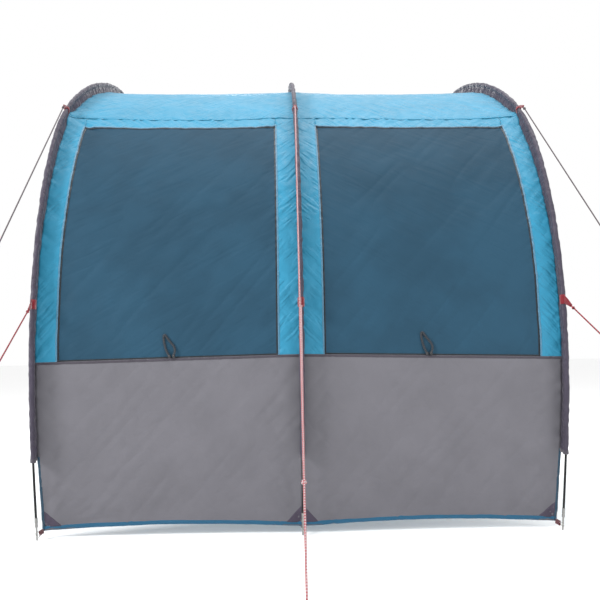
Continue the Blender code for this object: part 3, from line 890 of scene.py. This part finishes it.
def solid_material(name, base, roughness, scale, metallic=0.0, streak=1.0, depth=0.0002, **sockets):
    """Metal or moulded plastic: worn tone, streaks along it and fine marks."""
    tree, shader, uv = begin(name, roughness, metallic=metallic, **sockets)
    stretch = (streak, 1.0, 1.0)
    marks = texture(tree, uv, scale, 5.0, stretch, 0.65)
    wear = texture(tree, uv, scale / 4, 3.0, stretch)
    shade = mixed(tree, spans(tree, wear, 0.35, 0.7), base, toned(base, 1.35, 0.01))
    shade = mixed(tree, spans(tree, marks, 0.45, 0.75, 0.0, 0.4), shade, toned(base, 0.6))
    paint(tree, shader, shade)
    gloss = spans(tree, marks, 0.3, 0.7, roughness * 0.8, roughness * 1.35)
    tree.links.new(gloss, shader.inputs["Roughness"])
    bumped(tree, shader, ((marks, 0.25, depth),))


def make_materials():
    blue_folds = ((2.3, 0.034, 0.16, 0.8), (0.9, 0.05, 0.16, 0.3))
    grey_folds = ((2.4, 0.09, 0.40, 0.30), (0.4, 0.07, 0.14, 0.18))
    sleeve_folds = ((1.2, 0.035, 0.06, 0.6),)
    cloth_material("blue taffeta", colour(0x207796), tone=0.06, folds=blue_folds)
    cloth_material("grey taffeta", colour(0x5D5C62), 0.56, 0.08, 0.05, 0.35, grey_folds)
    cloth_material("sleeve taffeta", colour(0x342F3D), 0.55, tone=0.12, crease=0.6, folds=sleeve_folds)
    cloth_material("patch taffeta", colour(0x3D3645), 0.6, 0.05, 0.06, 0.3)
    # The netting's second colour is painted shade for its holes.
    mesh_material("window netting", colour(0x203E50), colour(0x101D27))
    for name, code in WEBBING.items():
        webbing_material(name, colour(code))
    for level, (base, tracer, pitch) in BRAIDS.items():
        braid_material(f"{level} braid", colour(base), colour(tracer), CORD_RADIUS, pitch)
    braid_material("loop braid", colour(0x14181E), colour(0x262E36), WINDOW_LOOP_WIDE, BRAID_PITCH)
    solid_material("black fibreglass", colour(0x0C0C0E), 0.45, 400.0, streak=0.05, specular=0.2)
    solid_material("drawn steel", colour(0x8A8A88), 0.30, 500.0, 1.0, 0.08)
    solid_material("zinc wire", colour(0xA4A4A0), 0.34, 300.0, 1.0, 0.5)
    solid_material("black nylon", colour(0x121317), 0.42, 700.0)
    for name, code in THREAD_COLOURS.items():
        solid_material(name, colour(code), 0.55, 900.0, depth=0.0001)


# --- Cloth panels ----------------------------------------------------------------------------------


def mirrored(s, side):
    """The arc length on the front (side 1), or as far from the rear foot (side -1)."""
    return s if side > 0 else ARCH_LENGTH - s


def make_skirt(bay, sign, side_name, side):
    xs = np.sort(sign * steps(MIDDLE_GAP, EDGE_X, SKIRT_STEP))
    share = steps(0.0, 1.0, SKIRT_STEP / (S_SILL - HEM_HEIGHT))
    x, t = np.meshgrid(xs, share, indexing="ij")
    s = hem_s(x) + (S_SILL + SEAM_WIDTH / 2 - hem_s(x)) * t
    if side < 0:
        s = (ARCH_LENGTH - s)[:, ::-1]
    name = f"{side_name}_skirt_{bay}"
    piece = grid_piece(f"{name}_cloth", x, s, "grey taffeta", lift=0.0008)
    settle(piece, "skirt_fabric", name)


def make_wall(bay, sign):
    """A bay's walls. The front one is two stiles and a head round the window's netting."""
    stile = (S_SILL, S_EAVE)
    sleeves = [f"{bay}_pole_sleeve", "centre_pole_sleeve"]
    stiles = [f"inner_stile_{bay}", f"outer_stile_{bay}"]
    netting = (WINDOW_INNER_X - NETTING_OVERLAP, WINDOW_OUTER_X + NETTING_OVERLAP)
    netting_up = (S_SILL - NETTING_OVERLAP / 2, S_HEAD + NETTING_OVERLAP)
    rear = (ARCH_LENGTH - S_EAVE, ARCH_LENGTH - S_SILL)
    blue, mesh = ("blue taffeta", "canopy_fabric", 0.0), ("window netting", "window_mesh", -WINDOW_RECESS)
    panels = (
        (stiles[0], (MIDDLE_GAP, WINDOW_INNER_X), stile, blue, sleeves, [f"front_frame_{bay}"]),
        (stiles[1], (WINDOW_OUTER_X, EDGE_X), stile, blue, sleeves, []),
        (f"window_head_{bay}", (WINDOW_INNER_X, WINDOW_OUTER_X), (S_HEAD, S_EAVE), blue, sleeves, []),
        (f"window_mesh_{bay}_cloth", netting, netting_up, mesh, stiles, [f"window_mesh_{bay}"]),
        (f"rear_wall_{bay}_cloth", (MIDDLE_GAP, EDGE_X), rear, blue, sleeves, [f"rear_wall_{bay}"]),
    )
    for name, across, up, (material, slot, lift), rests_on, nodes in panels:
        x, s = np.meshgrid(np.sort(sign * steps(*across, WALL_STEP)), steps(*up, WALL_STEP), indexing="ij")
        panel = settle(grid_piece(name, x, s, material, lift), slot, *nodes)


def make_roof():
    xs, ss = steps(-EDGE_X, EDGE_X, ROOF_STEP), steps(S_EAVE, ARCH_LENGTH - S_EAVE, ROOF_STEP)
    roof = grid_piece("roof_canopy_cloth", *np.meshgrid(xs, ss, indexing="ij"), "blue taffeta")
    settle(roof, "canopy_fabric", "roof_canopy")


# --- Seams, bindings and patches -------------------------------------------------------------------


def trim(name, x, s, width, look, lift=0.0, thickness=TRIM_LIFT, along_arch=False):
    """A tape on the cloth, stitched near both edges: look is (material, slot, group of stitches)."""
    material, slot, group = look
    if not along_arch:
        s = np.broadcast_to(s, x.shape)
    path, up = cloth(x, s, lift), outward(s)
    across = X_AXIS if along_arch else uphill(s)
    settle(tape(name, path, across, up, width, thickness, material), slot)
    if group:
        for edge in STITCH_ROWS:
            stitch(group, path + up * thickness, up, edge * width, across)


def make_seams():
    for side_name, side in SIDES:
        xs = steps(-EDGE_X, EDGE_X, TRIM_STEP)
        blue = ("blue taffeta", "canopy_fabric", "blue_stitching")
        trim(f"{side_name}_eave_seam", xs, mirrored(S_EAVE, side), SEAM_WIDTH, blue, 0.0012, 0.0010)
        for bay, sign in BAYS:
            xs = np.sort(sign * steps(0.004, EDGE_X, TRIM_STEP))
            welt = mirrored(S_SILL - 0.001, side)
            grey = ("grey binding", "skirt_fabric", "grey_stitching")
            trim(f"{side_name}_sill_seam_{bay}", xs, welt, SEAM_WIDTH, grey, 0.0008)


def make_window_trim(bay, sign):
    """Pale binding round a window, and a dark tape just inside it that paints the shadow line where the netting
    sits below the binding.
    """
    pale = ("pale binding", "canopy_fabric", "pale_stitching")
    # These dark tapes are painted shade: the shadow line where the recessed netting meets the binding.
    dark = ("painted shadow tape", "window_mesh", None)
    ss = steps(S_SILL + SEAM_WIDTH / 2, S_HEAD, TRIM_STEP)
    half = WINDOW_BINDING_WIDTH / 2
    for edge, x, inner in (("inner", WINDOW_INNER_X, 1), ("outer", WINDOW_OUTER_X, -1)):
        place = sign * (x - inner * (half - 0.001))
        trim(f"window_binding_{edge}_{bay}", place, ss, WINDOW_BINDING_WIDTH, pale, along_arch=True)
        place = sign * (x + inner * 0.0035)
        trim(f"netting_edge_{edge}_{bay}", place, ss, PAINTED_SHADOW_LINE_WIDTH, dark, -0.0012, along_arch=True)
    xs = np.sort(sign * steps(WINDOW_INNER_X - half, WINDOW_OUTER_X + half, TRIM_STEP))
    top, low = S_HEAD + half - 0.001, S_SILL + SEAM_WIDTH / 2 + 0.002
    trim(f"window_binding_head_{bay}", xs, top, WINDOW_BINDING_WIDTH, pale)
    trim(f"netting_edge_head_{bay}", xs, S_HEAD - 0.004, PAINTED_SHADOW_LINE_WIDTH + 0.001, dark, -0.0012)
    trim(f"netting_edge_sill_{bay}", xs, low, PAINTED_SHADOW_LINE_WIDTH, dark, -0.0008)


def make_hems(bay, sign, side_name, side):
    """The blue tape folded over a skirt's foot, and the blue binding down its free edge."""
    xs = np.sort(sign * steps(0.003, EDGE_X, TRIM_STEP))
    s = mirrored(hem_s(xs) + HEM_WIDTH / 2 - 0.003, side)
    path, up, across = cloth(xs, s), outward(s), uphill(s)
    rings = sweep(path - up * 0.0006, across, up, circle(1.0, 16) * (HEM_WIDTH / 2, 0.0026))
    settle(loft(f"{side_name}_hem_tape_{bay}", rings, "blue binding"), "canopy_fabric")
    stitch("blue_stitching", path + up * 0.0020, up, 0.30 * HEM_WIDTH * side, across)
    ss = np.sort(mirrored(steps(float(hem_s(EDGE_X)), S_SLEEVE + SLEEVE_HEM, TRIM_STEP), side))
    path, up = cloth(sign * (EDGE_X - 0.002), ss), outward(ss)
    rings = sweep(path - up * 0.0006, X_AXIS, up, circle(1.0, 14) * (EDGE_BINDING_WIDTH / 2, 0.0024))
    settle(loft(f"{side_name}_edge_binding_{bay}", rings, "teal binding"), "canopy_fabric")
    stitch("blue_stitching", path + up * 0.0018, up, -sign * 0.28 * EDGE_BINDING_WIDTH, X_AXIS)


def make_corner_patch(name, corner_x, reach_x, side):
    """A triangle of reinforcing cloth in a bottom corner of a skirt, sewn on along its long side."""
    flat, faces, index = [], [], {}
    for i in range(PATCH_CELLS + 1):
        for j in range(PATCH_CELLS + 1 - i):
            x = corner_x + reach_x * i / PATCH_CELLS
            index[i, j] = len(flat)
            flat.append((x, mirrored(float(hem_s(x)) + HEM_WIDTH * 0.6 + PATCH_SIZE * j / PATCH_CELLS, side)))
    for i in range(PATCH_CELLS):
        for j in range(PATCH_CELLS - i):
            faces.append((index[i, j], index[i + 1, j], index[i, j + 1]))
            if i + j < PATCH_CELLS - 1:
                faces.append((index[i + 1, j], index[i + 1, j + 1], index[i, j + 1]))
    if reach_x * side < 0:
        faces = [face[::-1] for face in faces]
    flat = np.array(flat)
    points = cloth(flat[:, 0], flat[:, 1], 0.0014)
    patch = new_mesh(name, points, faces, flat[np.array(faces)], "patch taffeta", False)
    thicken(patch, 0.0010)
    settle(patch, "skirt_fabric")
    xs, ss = flat[[index[i, PATCH_CELLS - i] for i in range(PATCH_CELLS + 1)]].T
    for inset in (0.003, 0.0065):
        row = cloth(xs - inset * np.sign(reach_x), ss - inset * side, 0.0018)
        stitch("grey_stitching", row, outward(ss))


def make_patches():
    for side_name, side in SIDES:
        for bay, sign in BAYS:
            outer, inner = sign * (EDGE_X - CORNER_INSET), sign * CORNER_INSET
            make_corner_patch(f"{side_name}_patch_outer_{bay}", outer, -sign * PATCH_SIZE, side)
            make_corner_patch(f"{side_name}_patch_inner_{bay}", inner, sign * PATCH_SIZE * 0.85, side)


# --- Sleeves and poles -----------------------------------------------------------------------------


def sleeve_section(ss, side, seed):
    """Teardrop sections along a sleeve, puckered round the pole and gathered along the tail."""
    turns = np.radians(np.linspace(SLEEVE_TURN, -SLEEVE_TURN, SLEEVE_SIDES))
    pucker = 1 + 0.18 * noise(ss[:, None] / 0.017, turns[None] * 1.3, seed)
    pucker = pucker + 0.06 * noise(ss / 0.06, 0.5 * ss, seed)[:, None]
    pucker = SLEEVE_RADIUS * pucker * (1 - 0.22 * abs(side) * cinch(ss, 0.02))[:, None]
    ring = np.stack([np.sin(turns)[None] * pucker, -np.cos(turns)[None] * pucker], axis=-1)
    wave = 0.0045 * noise(ss / 0.030, ss * 0.0 + 0.5, seed + 1) + 0.0022 * noise(ss / 0.011, ss * 0.0, seed + 2)
    tail_depth = SHEET_DEPTH + BAY_SAG * 0.05 + 0.006 - abs(side) * PINCH_DEPTH * cinch(ss)
    left, right = [], []
    for share, half in SLEEVE_TAIL:
        depth = SLEEVE_NECK_DEPTH + (tail_depth - SLEEVE_NECK_DEPTH) * share
        middle = -side * edge_inset(ss) * share**0.8 + wave * math.sin(math.pi * min(share + 0.1, 1.0))
        left.append(np.stack([middle - half, depth], axis=-1))
        right.append(np.stack([middle + half, depth], axis=-1))
    return np.concatenate([ring, np.stack(left, axis=1), np.stack(right[::-1], axis=1)], axis=1)


def arch_rings(x, ss, sections):
    """Rings round an arch's pole from (along X, inwards) sections."""
    y, z = curve_at(ss)
    in_y, in_z = inward_at(ss)
    across, depth = sections[..., 0], sections[..., 1]
    centre = (x * narrowing(ss))[:, None]
    high, deep = z[:, None] + in_z[:, None] * depth, y[:, None] + in_y[:, None] * depth
    return np.stack([centre + across, deep, high], axis=-1)


def make_sleeve(name, x, side, seed):
    """A sleeve with a hem at each end, and a row of stitches on both sides of its tail."""
    ss = steps(S_SLEEVE, ARCH_LENGTH - S_SLEEVE, SLEEVE_STEP)
    rings = arch_rings(x, ss, sleeve_section(ss, side, seed))
    sleeve = loft(f"{name}_sleeve_cloth", rings, "sleeve taffeta", caps=False)
    thicken(sleeve, 0.0004)
    settle(sleeve, "sleeve_fabric", f"{name}_pole_sleeve")
    for end, start in (("front", S_SLEEVE), ("rear", ARCH_LENGTH - S_SLEEVE - SLEEVE_HEM)):
        ss = steps(start - 0.0005, start + SLEEVE_HEM, 0.0035)
        rings = arch_rings(x, ss, sleeve_section(ss, side, seed) * (1.06, 1.03))
        hem = loft(f"{name}_sleeve_hem_{end}", rings, "grey binding", caps=False)
        thicken(hem, 0.0009)
        settle(hem, "sleeve_fabric")
    for half in (-1, 1):
        ss = steps(S_SLEEVE + 0.004, ARCH_LENGTH - S_SLEEVE - 0.004, 0.01)
        section = np.full((len(ss), 1, 2), (half * 0.0016, SLEEVE_NECK_DEPTH))
        stitch("grey_stitching", arch_rings(x, ss, section)[:, 0], X_AXIS * half)


def rod_profile(ss, joints):
    """Radii along a pole that is thicker over its ferrules, with soft shoulders."""
    radii = np.full(len(ss), POLE_RADIUS)
    for joint in joints:
        share = np.clip((FERRULE_LENGTH / 2 - np.abs(ss - joint)) / FERRULE_SHOULDER, 0, 1)
        radii = np.maximum(radii, POLE_RADIUS + (FERRULE_RADIUS - POLE_RADIUS) * share)
    return radii


def make_rod(name, x, start, end, joints, node_name):
    shoulders = [side * (FERRULE_LENGTH / 2 + shift) for side in (-1, 1) for shift in (-0.003, 0.001)]
    extra = [joint + shoulder for joint in joints for shoulder in shoulders]
    ss = np.unique(np.clip(np.concatenate([steps(start, end, ROD_STEP), extra]), start, end))
    section = circle(1.0, 16)[None] * rod_profile(ss, joints)[:, None, None]
    rod = loft(name, arch_rings(x, ss, section), "black fibreglass")
    settle(rod, "pole_fibreglass", node_name)


def make_pole(name, x):
    tip = float(arch_length_at(TIP_TOP))
    leg = ARCH_LENGTH * LEG_SHARE
    far = ARCH_LENGTH - leg
    joints = np.linspace(leg, far, FERRULES_IN_BOW + 2)[1:-1]
    make_rod(f"{name}_bow_rod", x, leg, far, joints, f"{name}_pole_bow")
    for end, start, stop in (("front", tip + GAP, leg - GAP), ("rear", far + GAP, ARCH_LENGTH - tip - GAP)):
        joint = leg - FERRULE_LENGTH / 2 if end == "front" else far + FERRULE_LENGTH / 2
        make_rod(f"{name}_{end}_leg_rod", x, start, stop, (joint,), f"{name}_pole_{end}_leg")


def make_tip(name, x, end, side):
    """A steel spigot with a rounded nose, under a crimped collar on the pole's foot."""
    foot = np.array((x, *(float(v) for v in chart(x, 0.0, 0.0)[1:])))
    head = np.array(chart(x, float(arch_length_at(TIP_TOP)), 0.0))
    along = unit(head - foot)
    long = float(np.linalg.norm(head - foot))
    profile = [*SPIGOT, *((long + out, radius) for out, radius in COLLAR)]
    flip = np.array((1.0, side, 1.0))
    rings = turned_rings(foot, along, profile, 20) * flip
    rings[..., 2] = np.maximum(rings[..., 2], 0.0)
    settle(loft(f"{name}_{end}_tip_spigot", rings, "drawn steel"), "tip_steel", f"{name}_{end}_pole_tip")
    return foot * flip, along * flip


def make_foot_strap(name, x, end, side):
    """A steel ring on the spigot, and the webbing that ties the wall's corner to it."""
    foot, along = make_tip(name, x, end, side)
    corner = np.array(cloth(np.sign(x) * (EDGE_X - CORNER_INSET), mirrored(float(hem_s(EDGE_X)), side)))
    hub = foot + along * FOOT_RING_RISE
    pull = unit(corner - hub)
    flat = unit(np.cross(pull, unit(along + 0.6 * np.cross(along, pull))))
    wide = unit(np.cross(flat, pull))
    ring_path = hub + pull * 0.006 + FOOT_RING_RADIUS * arc(full_turn(28), pull, wide)
    ring_path[:, 2] = np.maximum(ring_path[:, 2], 0.0020)
    ring = tube(f"{name}_{end}_foot_ring", ring_path, FOOT_RING_WIRE, 10, "zinc wire", closed=True)
    settle(ring, "tip_steel")
    start, inner = corner - pull * 0.004, hub + pull * 0.0165
    path = resample(np.array((start, (start + inner) / 2 + wide * 0.0006, inner)), 0.002)
    upright = unit(np.cross(pull, (0.0, 0.0, 1.0)))
    lift = unit(np.cross(upright, pull))
    for layer, offset, nodes in (("outer", 0.0011, [f"{name}_{end}_foot_strap"]), ("inner", -0.0011, [])):
        layer_name = f"{name}_{end}_strap_{layer}"
        strap = tape(layer_name, path + upright * offset, lift, upright, STRAP_WIDTH, 0.0014, "dark webbing")
        settle(strap, "red_webbing", *nodes)
    bend = inner + arc(HALF_TURN, pull * -0.0022, upright * 0.0018)
    facing = unit(bend - inner - pull * 0.001)
    fold = tape(f"{name}_{end}_strap_fold", bend, lift, facing, STRAP_WIDTH, 0.0010, "dark webbing")
    settle(fold, "red_webbing")
    for across in (-0.005, 0.0, 0.005):
        stitch("red_stitching", path[: len(path) // 2] + upright * 0.0027, upright, across, lift)


# --- Guylines --------------------------------------------------------------------------------------


def braided_tube(name, path, radius, material, closed=False):
    """A cord whose strands stand a little proud where they cross."""
    path = np.asarray(path, float)
    side, normal = frames(path, closed)
    turns = full_turn(CORD_SIDES) + np.pi / CORD_SIDES
    around = BRAID_STRANDS * turns[None] / (2 * np.pi)
    along = lengths_along(path)[:, None] / BRAID_PITCH
    relief = np.abs(np.sin(np.pi * (along + around)) * np.sin(np.pi * (along - around)))
    radii = radius - BRAID_RELIEF + 2 * BRAID_RELIEF * relief
    section = np.stack([radii * np.sin(turns), radii * np.cos(turns)], axis=-1)
    return loft(name, sweep(path, side, normal, section), material, closed)


def knot(name, centre, along, material, size=KNOT_SIZE):
    """A small overhand knot pulled tight on a cord."""
    turns = full_turn(90)
    _, wide, thin = cord_frame(along)
    swing = 1 + 0.42 * np.cos(3 * turns)
    path = centre + size * swing[:, None] * arc(2 * turns, wide, thin)
    path = path + np.sin(3 * turns)[:, None] * along * size * 0.85
    return settle(tube(name, path, KNOT_CORD, 10, material, closed=True), "guyline_cord")


def cord_frame(along, guide=(0.0, 0.0, 1.0)):
    along = unit(along)
    wide = unit(np.asarray(guide) - along * along.dot(guide))
    return along, wide, np.cross(along, wide)


def tab_places(level, x, end):
    """The base and the tip of a guyline's tab, its edge, and the direction in which it leans."""
    s = float(arch_length_at(TAB_HEIGHTS[level]))
    out = outward(s)
    base = np.array(chart(x, s, 0.0)) + out * (SLEEVE_OUTER + TAB_THICKNESS)
    edge = X_AXIS if level == "upper" and x == 0.0 else uphill(s)
    lean = unit(unit(np.array(end) - base) + out * TAB_LEANS[level])
    return s, base, base + lean * TAB_LENGTH, edge, lean


def make_tab(label, level, x, end):
    """Red webbing: a band round the sleeve, and two sewn layers that taper to a fold at the cord."""
    s, base, tip, edge, lean = tab_places(level, x, end)
    thin = unit(np.cross(lean, edge))
    wide = np.cross(thin, lean)
    shares = np.linspace(0, 1, 14)
    path = (base - lean * 0.002) + shares[:, None] * (tip - base + lean * 0.001)
    widths = TAB_BASE_WIDTHS[level] * (1 - shares**0.8) + TAB_TIP_WIDTH * shares**0.8
    across = unit(edge[None] * (1 - shares[:, None]) + wide[None] * shares[:, None])
    section = TAPE_SECTION[None] * np.stack([widths, np.full(len(widths), TAB_LAYER)], axis=-1)[:, None]
    spread = (0.0004 + 0.0007 * shares**2)[:, None]
    for layer, half, nodes in (("upper", 1, [f"{label}_guy_tab"]), ("lower", -1, [])):
        rings = sweep(path + thin * half * spread, across, thin * half, section)
        settle(loft(f"{label}_tab_{layer}", rings, "red webbing"), "red_webbing", *nodes)
    fold = tip + lean * 0.0005 + arc(HALF_TURN, lean * 0.0014, thin * 0.0016)
    facing = unit(fold - tip + lean * 0.0002)
    folded = tape(f"{label}_tab_fold", fold, wide, facing, TAB_TIP_WIDTH, TAB_LAYER, "red webbing")
    settle(folded, "red_webbing")
    make_tab_band(label, level, x, s)
    for share in (0.16, 0.30, 0.44):
        row = base + lean * TAB_LENGTH * share
        half_width = 0.42 * (TAB_BASE_WIDTHS[level] * (1 - share) + TAB_TIP_WIDTH * share)
        bar = resample(np.array((row - wide * half_width, row + wide * half_width)), 0.002)
        for half in (-1, 1):
            stitch("red_stitching", bar + thin * half * 0.0018, thin * half)
    return tip


def make_tab_band(label, level, x, s):
    """The band of webbing that is sewn round the sleeve under a tab."""
    slim = level == "upper"
    width = TAB_BASE_WIDTHS[level] * (0.8 if slim else 1.0)
    start = -118 if slim or x == 0 else -20
    turns = np.radians(np.linspace(start, 118, 25)) * (-1 if x > 0 else 1)
    out, up = outward(s), uphill(s)
    centre = np.array(chart(x, s, 0.0))
    radial = arc(turns, out, X_AXIS)
    path = centre + radial * (SLEEVE_RADIUS * (0.85 if slim and x else 1.0) + 0.0018)
    if slim:
        tail = SHEET_DEPTH - (PINCH_DEPTH if x else 0.0) - 0.002
        sides = (1, -1) if x > 0 else (-1, 1)
        ends = [centre - out * tail + X_AXIS * half * SLEEVE_TAIL[0][1] for half in sides]
        path = np.concatenate([[ends[0]], path, [ends[1]]])
        radial = np.concatenate([[X_AXIS * sides[0]], radial, [X_AXIS * sides[1]]])
    settle(tape(f"{label}_tab_band", path, up, radial, width, 0.0013, "red webbing"), "red_webbing")
    for edge in (-0.36, 0.36):
        stitch("red_stitching", path + radial * 0.0013, radial, edge * width, up)


def ribbed_runner(name, centre, along):
    """A barrel adjuster: a bored nylon barrel with a waist, ribs and rounded ends."""
    _, wide, thin = cord_frame(along)
    half = RUNNER_LENGTH / 2
    profile = []
    for t in np.linspace(-1, 1, 27):
        waist = 0.0012 * math.cos(math.pi * t / 2) ** 2
        rib = 0.0004 * math.cos(9 * math.pi * t) * (abs(t) < 0.72)
        shoulder = 0.0022 * max(0.0, abs(t) - 0.82) / 0.18
        profile.append((t * half, RUNNER_OUTER - 0.0006 - waist + rib - shoulder))
    for inset, flare in ((0.0008, 0.0006), (0.002, 0.0)):
        profile.append((half - inset, RUNNER_BORE + flare))
    for inset, flare in ((0.002, 0.0), (0.0008, 0.0006)):
        profile.append((inset - half, RUNNER_BORE + flare))
    profile = np.array(profile)
    radial = arc(full_turn(36), wide, thin)
    rings = np.asarray(centre) + profile[None, :, :1] * along + profile[None, :, 1:] * radial[:, None]
    return loft(name, rings, "black nylon", closed=True)


def loop_path(base, along, wide, length, width):
    """A closed teardrop that leaves its base in a point and is round at its far end."""
    turns = full_turn(72)
    out = length * (1 - np.cos(turns)) / 2
    swing = width / 2 * np.sin(turns) * (0.35 + 0.65 * np.sin(turns / 2) ** 2) * 1.1
    return np.asarray(base) + out[:, None] * along + swing[:, None] * wide


def make_cord(label, start, end, braid):
    path = resample(np.array((start, end)), CORD_STEP)
    cord = braided_tube(f"{label}_cord", path, CORD_RADIUS, braid)
    settle(cord, "guyline_cord", f"{label}_guyline")


def start_guyline(arch, level, end):
    """A guyline's tab and the knot on it. Returns the cord's start, direction and braid, and the knot."""
    label = f"{arch}_{level}"
    tip = make_tab(label, level, dict(ARCHES)[arch] * ARCH_SPACING, end)
    along = unit(end - tip)
    start = tip + along * (GAP + CORD_RADIUS)
    braid = "centre braid" if arch == "centre" else f"{level} braid"
    return start, along, braid, knot(f"{label}_tab_knot", start + along * TAB_KNOT_REACH, along, braid)


def make_guyline(arch, level, end):
    """A whole guyline: tab, knot, cord, runner, and the loop that goes over the peg."""
    label = f"{arch}_{level}"
    end = np.array(end)
    start, along, braid, tie = start_guyline(arch, level, end)
    _, wide, _ = cord_frame(along, uphill(float(arch_length_at(TAB_HEIGHTS[level]))))
    path = loop_path(end + along * (GAP + CORD_RADIUS), along, wide, LOOP_LENGTH, LOOP_WIDTH)
    loop = braided_tube(f"{label}_end_loop", path, CORD_RADIUS * 0.92, braid, closed=True)
    settle(loop, "guyline_cord", f"{label}_guy_loop")
    end_knot = knot(f"{label}_end_knot", end + along * 0.001, along, braid)
    runner = ribbed_runner(f"{label}_barrel", end - along * RUNNER_FROM_END, along)
    settle(runner, "runner_plastic", f"{label}_runner", body=f"{label}_runner")
    make_cord(label, start, end, braid)


def make_joining_guyline(upper_end):
    """The centre arch's middle guyline, knotted round the upper one."""
    levels = ("upper", "middle")
    upper, middle = (np.array(chart(0.0, float(arch_length_at(TAB_HEIGHTS[k])), 0.0)) for k in levels)
    meeting = upper + (np.array(upper_end) - upper) * JUNCTION_SHARE
    end = meeting - unit(meeting - middle) * JUNCTION_STANDOFF
    start, along, braid, tie = start_guyline("centre", "middle", end)
    hitch = knot("centre_middle_end_knot", end + along * 0.004, along, braid, HITCH_SIZE)
    make_cord("centre_middle", start, end, braid)


def make_window_loop(bay, sign):
    """An elastic cord loop that stands on the window's sill: two legs, a belly, and a top bent over."""
    x = sign * WINDOW_LOOP_X
    name = f"window_loop_{bay}"
    s = S_SILL + 2 * WINDOW_LOOP_THIN
    depth = SHEET_DEPTH + BAY_SAG * float(arch_share(x)) - WINDOW_LOOP_LIFT
    base, top = chart(x, s, depth), chart(x, s + WINDOW_LOOP_LENGTH, depth)
    path = []
    for across, up in WINDOW_LOOP_SHAPE:
        sideways = across * WINDOW_LOOP_WIDTH - up * WINDOW_LOOP_LEAN
        path.append(base + (top - base) * up + X_AXIS * sideways)
    path = smooth_path(np.array(path), 0.0018)
    out = outward(s)
    section = circle(1.0, 16) * (WINDOW_LOOP_WIDE, WINDOW_LOOP_THIN)
    across = unit(np.cross(np.gradient(path, axis=0), out))
    loop = loft(f"{name}_elastic", sweep(path, across, out, section), "loop braid")
    settle(loop, "loop_cord", name, body=name)
    along = unit(top - base)
    for leg, place in (("near", path[0]), ("far", path[-1])):
        rings = turned_rings(place, along, WINDOW_LOOP_CRIMP, 16, squash=0.8)
        settle(loft(f"{name}_crimp_{leg}", rings, "black nylon"), "loop_cord", body=name)


# --- The whole tent, and the studio ----------------------------------------------------------------


def make_camera():
    turn, pitch, roll = CAMERA_YAW, CAMERA_PITCH, CAMERA_ROLL
    ahead = Vector((math.sin(turn) * math.cos(pitch), math.cos(turn) * math.cos(pitch), math.sin(pitch)))
    right = Vector((math.cos(turn), -math.sin(turn), 0.0))
    up = right.cross(ahead)
    right, up = math.cos(roll) * right + math.sin(roll) * up, math.cos(roll) * up - math.sin(roll) * right
    data = bpy.data.cameras.new("camera")
    data.lens = CAMERA_LENS
    camera = bpy.data.objects.new("camera", data)
    camera.matrix_world = Matrix((right, up, -ahead)).transposed().to_4x4()
    camera.location = CAMERA_PLACE
    bpy.context.scene.collection.objects.link(camera)
    bpy.context.scene.camera = camera


def add_area(name, place, size, power):
    data = bpy.data.lights.new(name, "AREA")
    data.shape = "DISK"
    data.size = size
    data.energy = power
    light = bpy.data.objects.new(name, data)
    light.location = place
    light.rotation_euler = (Vector(LIGHT_TARGET) - Vector(place)).to_track_quat("-Z", "Y").to_euler()
    bpy.context.scene.collection.objects.link(light)


def make_studio():
    world = bpy.data.worlds.new("studio")
    world.use_nodes = True
    world.node_tree.nodes["Background"].inputs["Color"].default_value = (1.0, 1.0, 1.0, 1.0)
    world.node_tree.nodes["Background"].inputs["Strength"].default_value = 1.0
    bpy.context.scene.world = world
    bpy.context.scene.view_settings.view_transform = "Standard"
    for name, (place, size, power) in LIGHTS.items():
        add_area(name, place, size, power)
    mesh = bpy.data.meshes.new("floor")
    corners = [(a * FLOOR_REACH, b * FLOOR_REACH, 0) for a, b in ((-1, -1), (1, -1), (1, 1), (-1, 1))]
    mesh.from_pydata(corners, [], [(0, 1, 2, 3)])
    floor = bpy.data.objects.new("floor", mesh)
    bpy.context.scene.collection.objects.link(floor)
    material = bpy.data.materials.new("pale floor")
    material.use_nodes = True
    shader = material.node_tree.nodes["Principled BSDF"]
    shader.inputs["Base Color"].default_value = FLOOR_TONE
    shader.inputs["Roughness"].default_value = 0.9
    mesh.materials.append(material)
    floor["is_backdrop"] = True


def make_tent():
    for arch, level, end in GUYLINE_ENDS:
        make_guyline(arch, level, end)
        if arch == "centre":
            make_joining_guyline(end)
    make_roof()
    make_seams()
    make_patches()
    for bay, sign in BAYS:
        make_wall(bay, sign)
        make_window_trim(bay, sign)
        make_window_loop(bay, sign)
        for side_name, side in SIDES:
            make_skirt(bay, sign, side_name, side)
            make_hems(bay, sign, side_name, side)
    for index, (name, sign) in enumerate(ARCHES):
        x = sign * ARCH_SPACING
        make_sleeve(name, x, sign, 20 + 5 * index)
        make_pole(name, x)
        for end, side in SIDES:
            make_foot_strap(name, x, end, side)
    for group, material, slot in (
        ("blue_stitching", "blue thread", "canopy_fabric"),
        ("pale_stitching", "pale thread", "canopy_fabric"),
        ("grey_stitching", "grey thread", "skirt_fabric"),
        ("red_stitching", "red thread", "red_webbing"),
    ):
        make_threads(group, material, slot)


def write_size():
    boxes = [[list(corner) for corner in box] for box in (CAD_BOX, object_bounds())]


make_camera()
make_materials()
make_studio()
make_tent()
write_size()
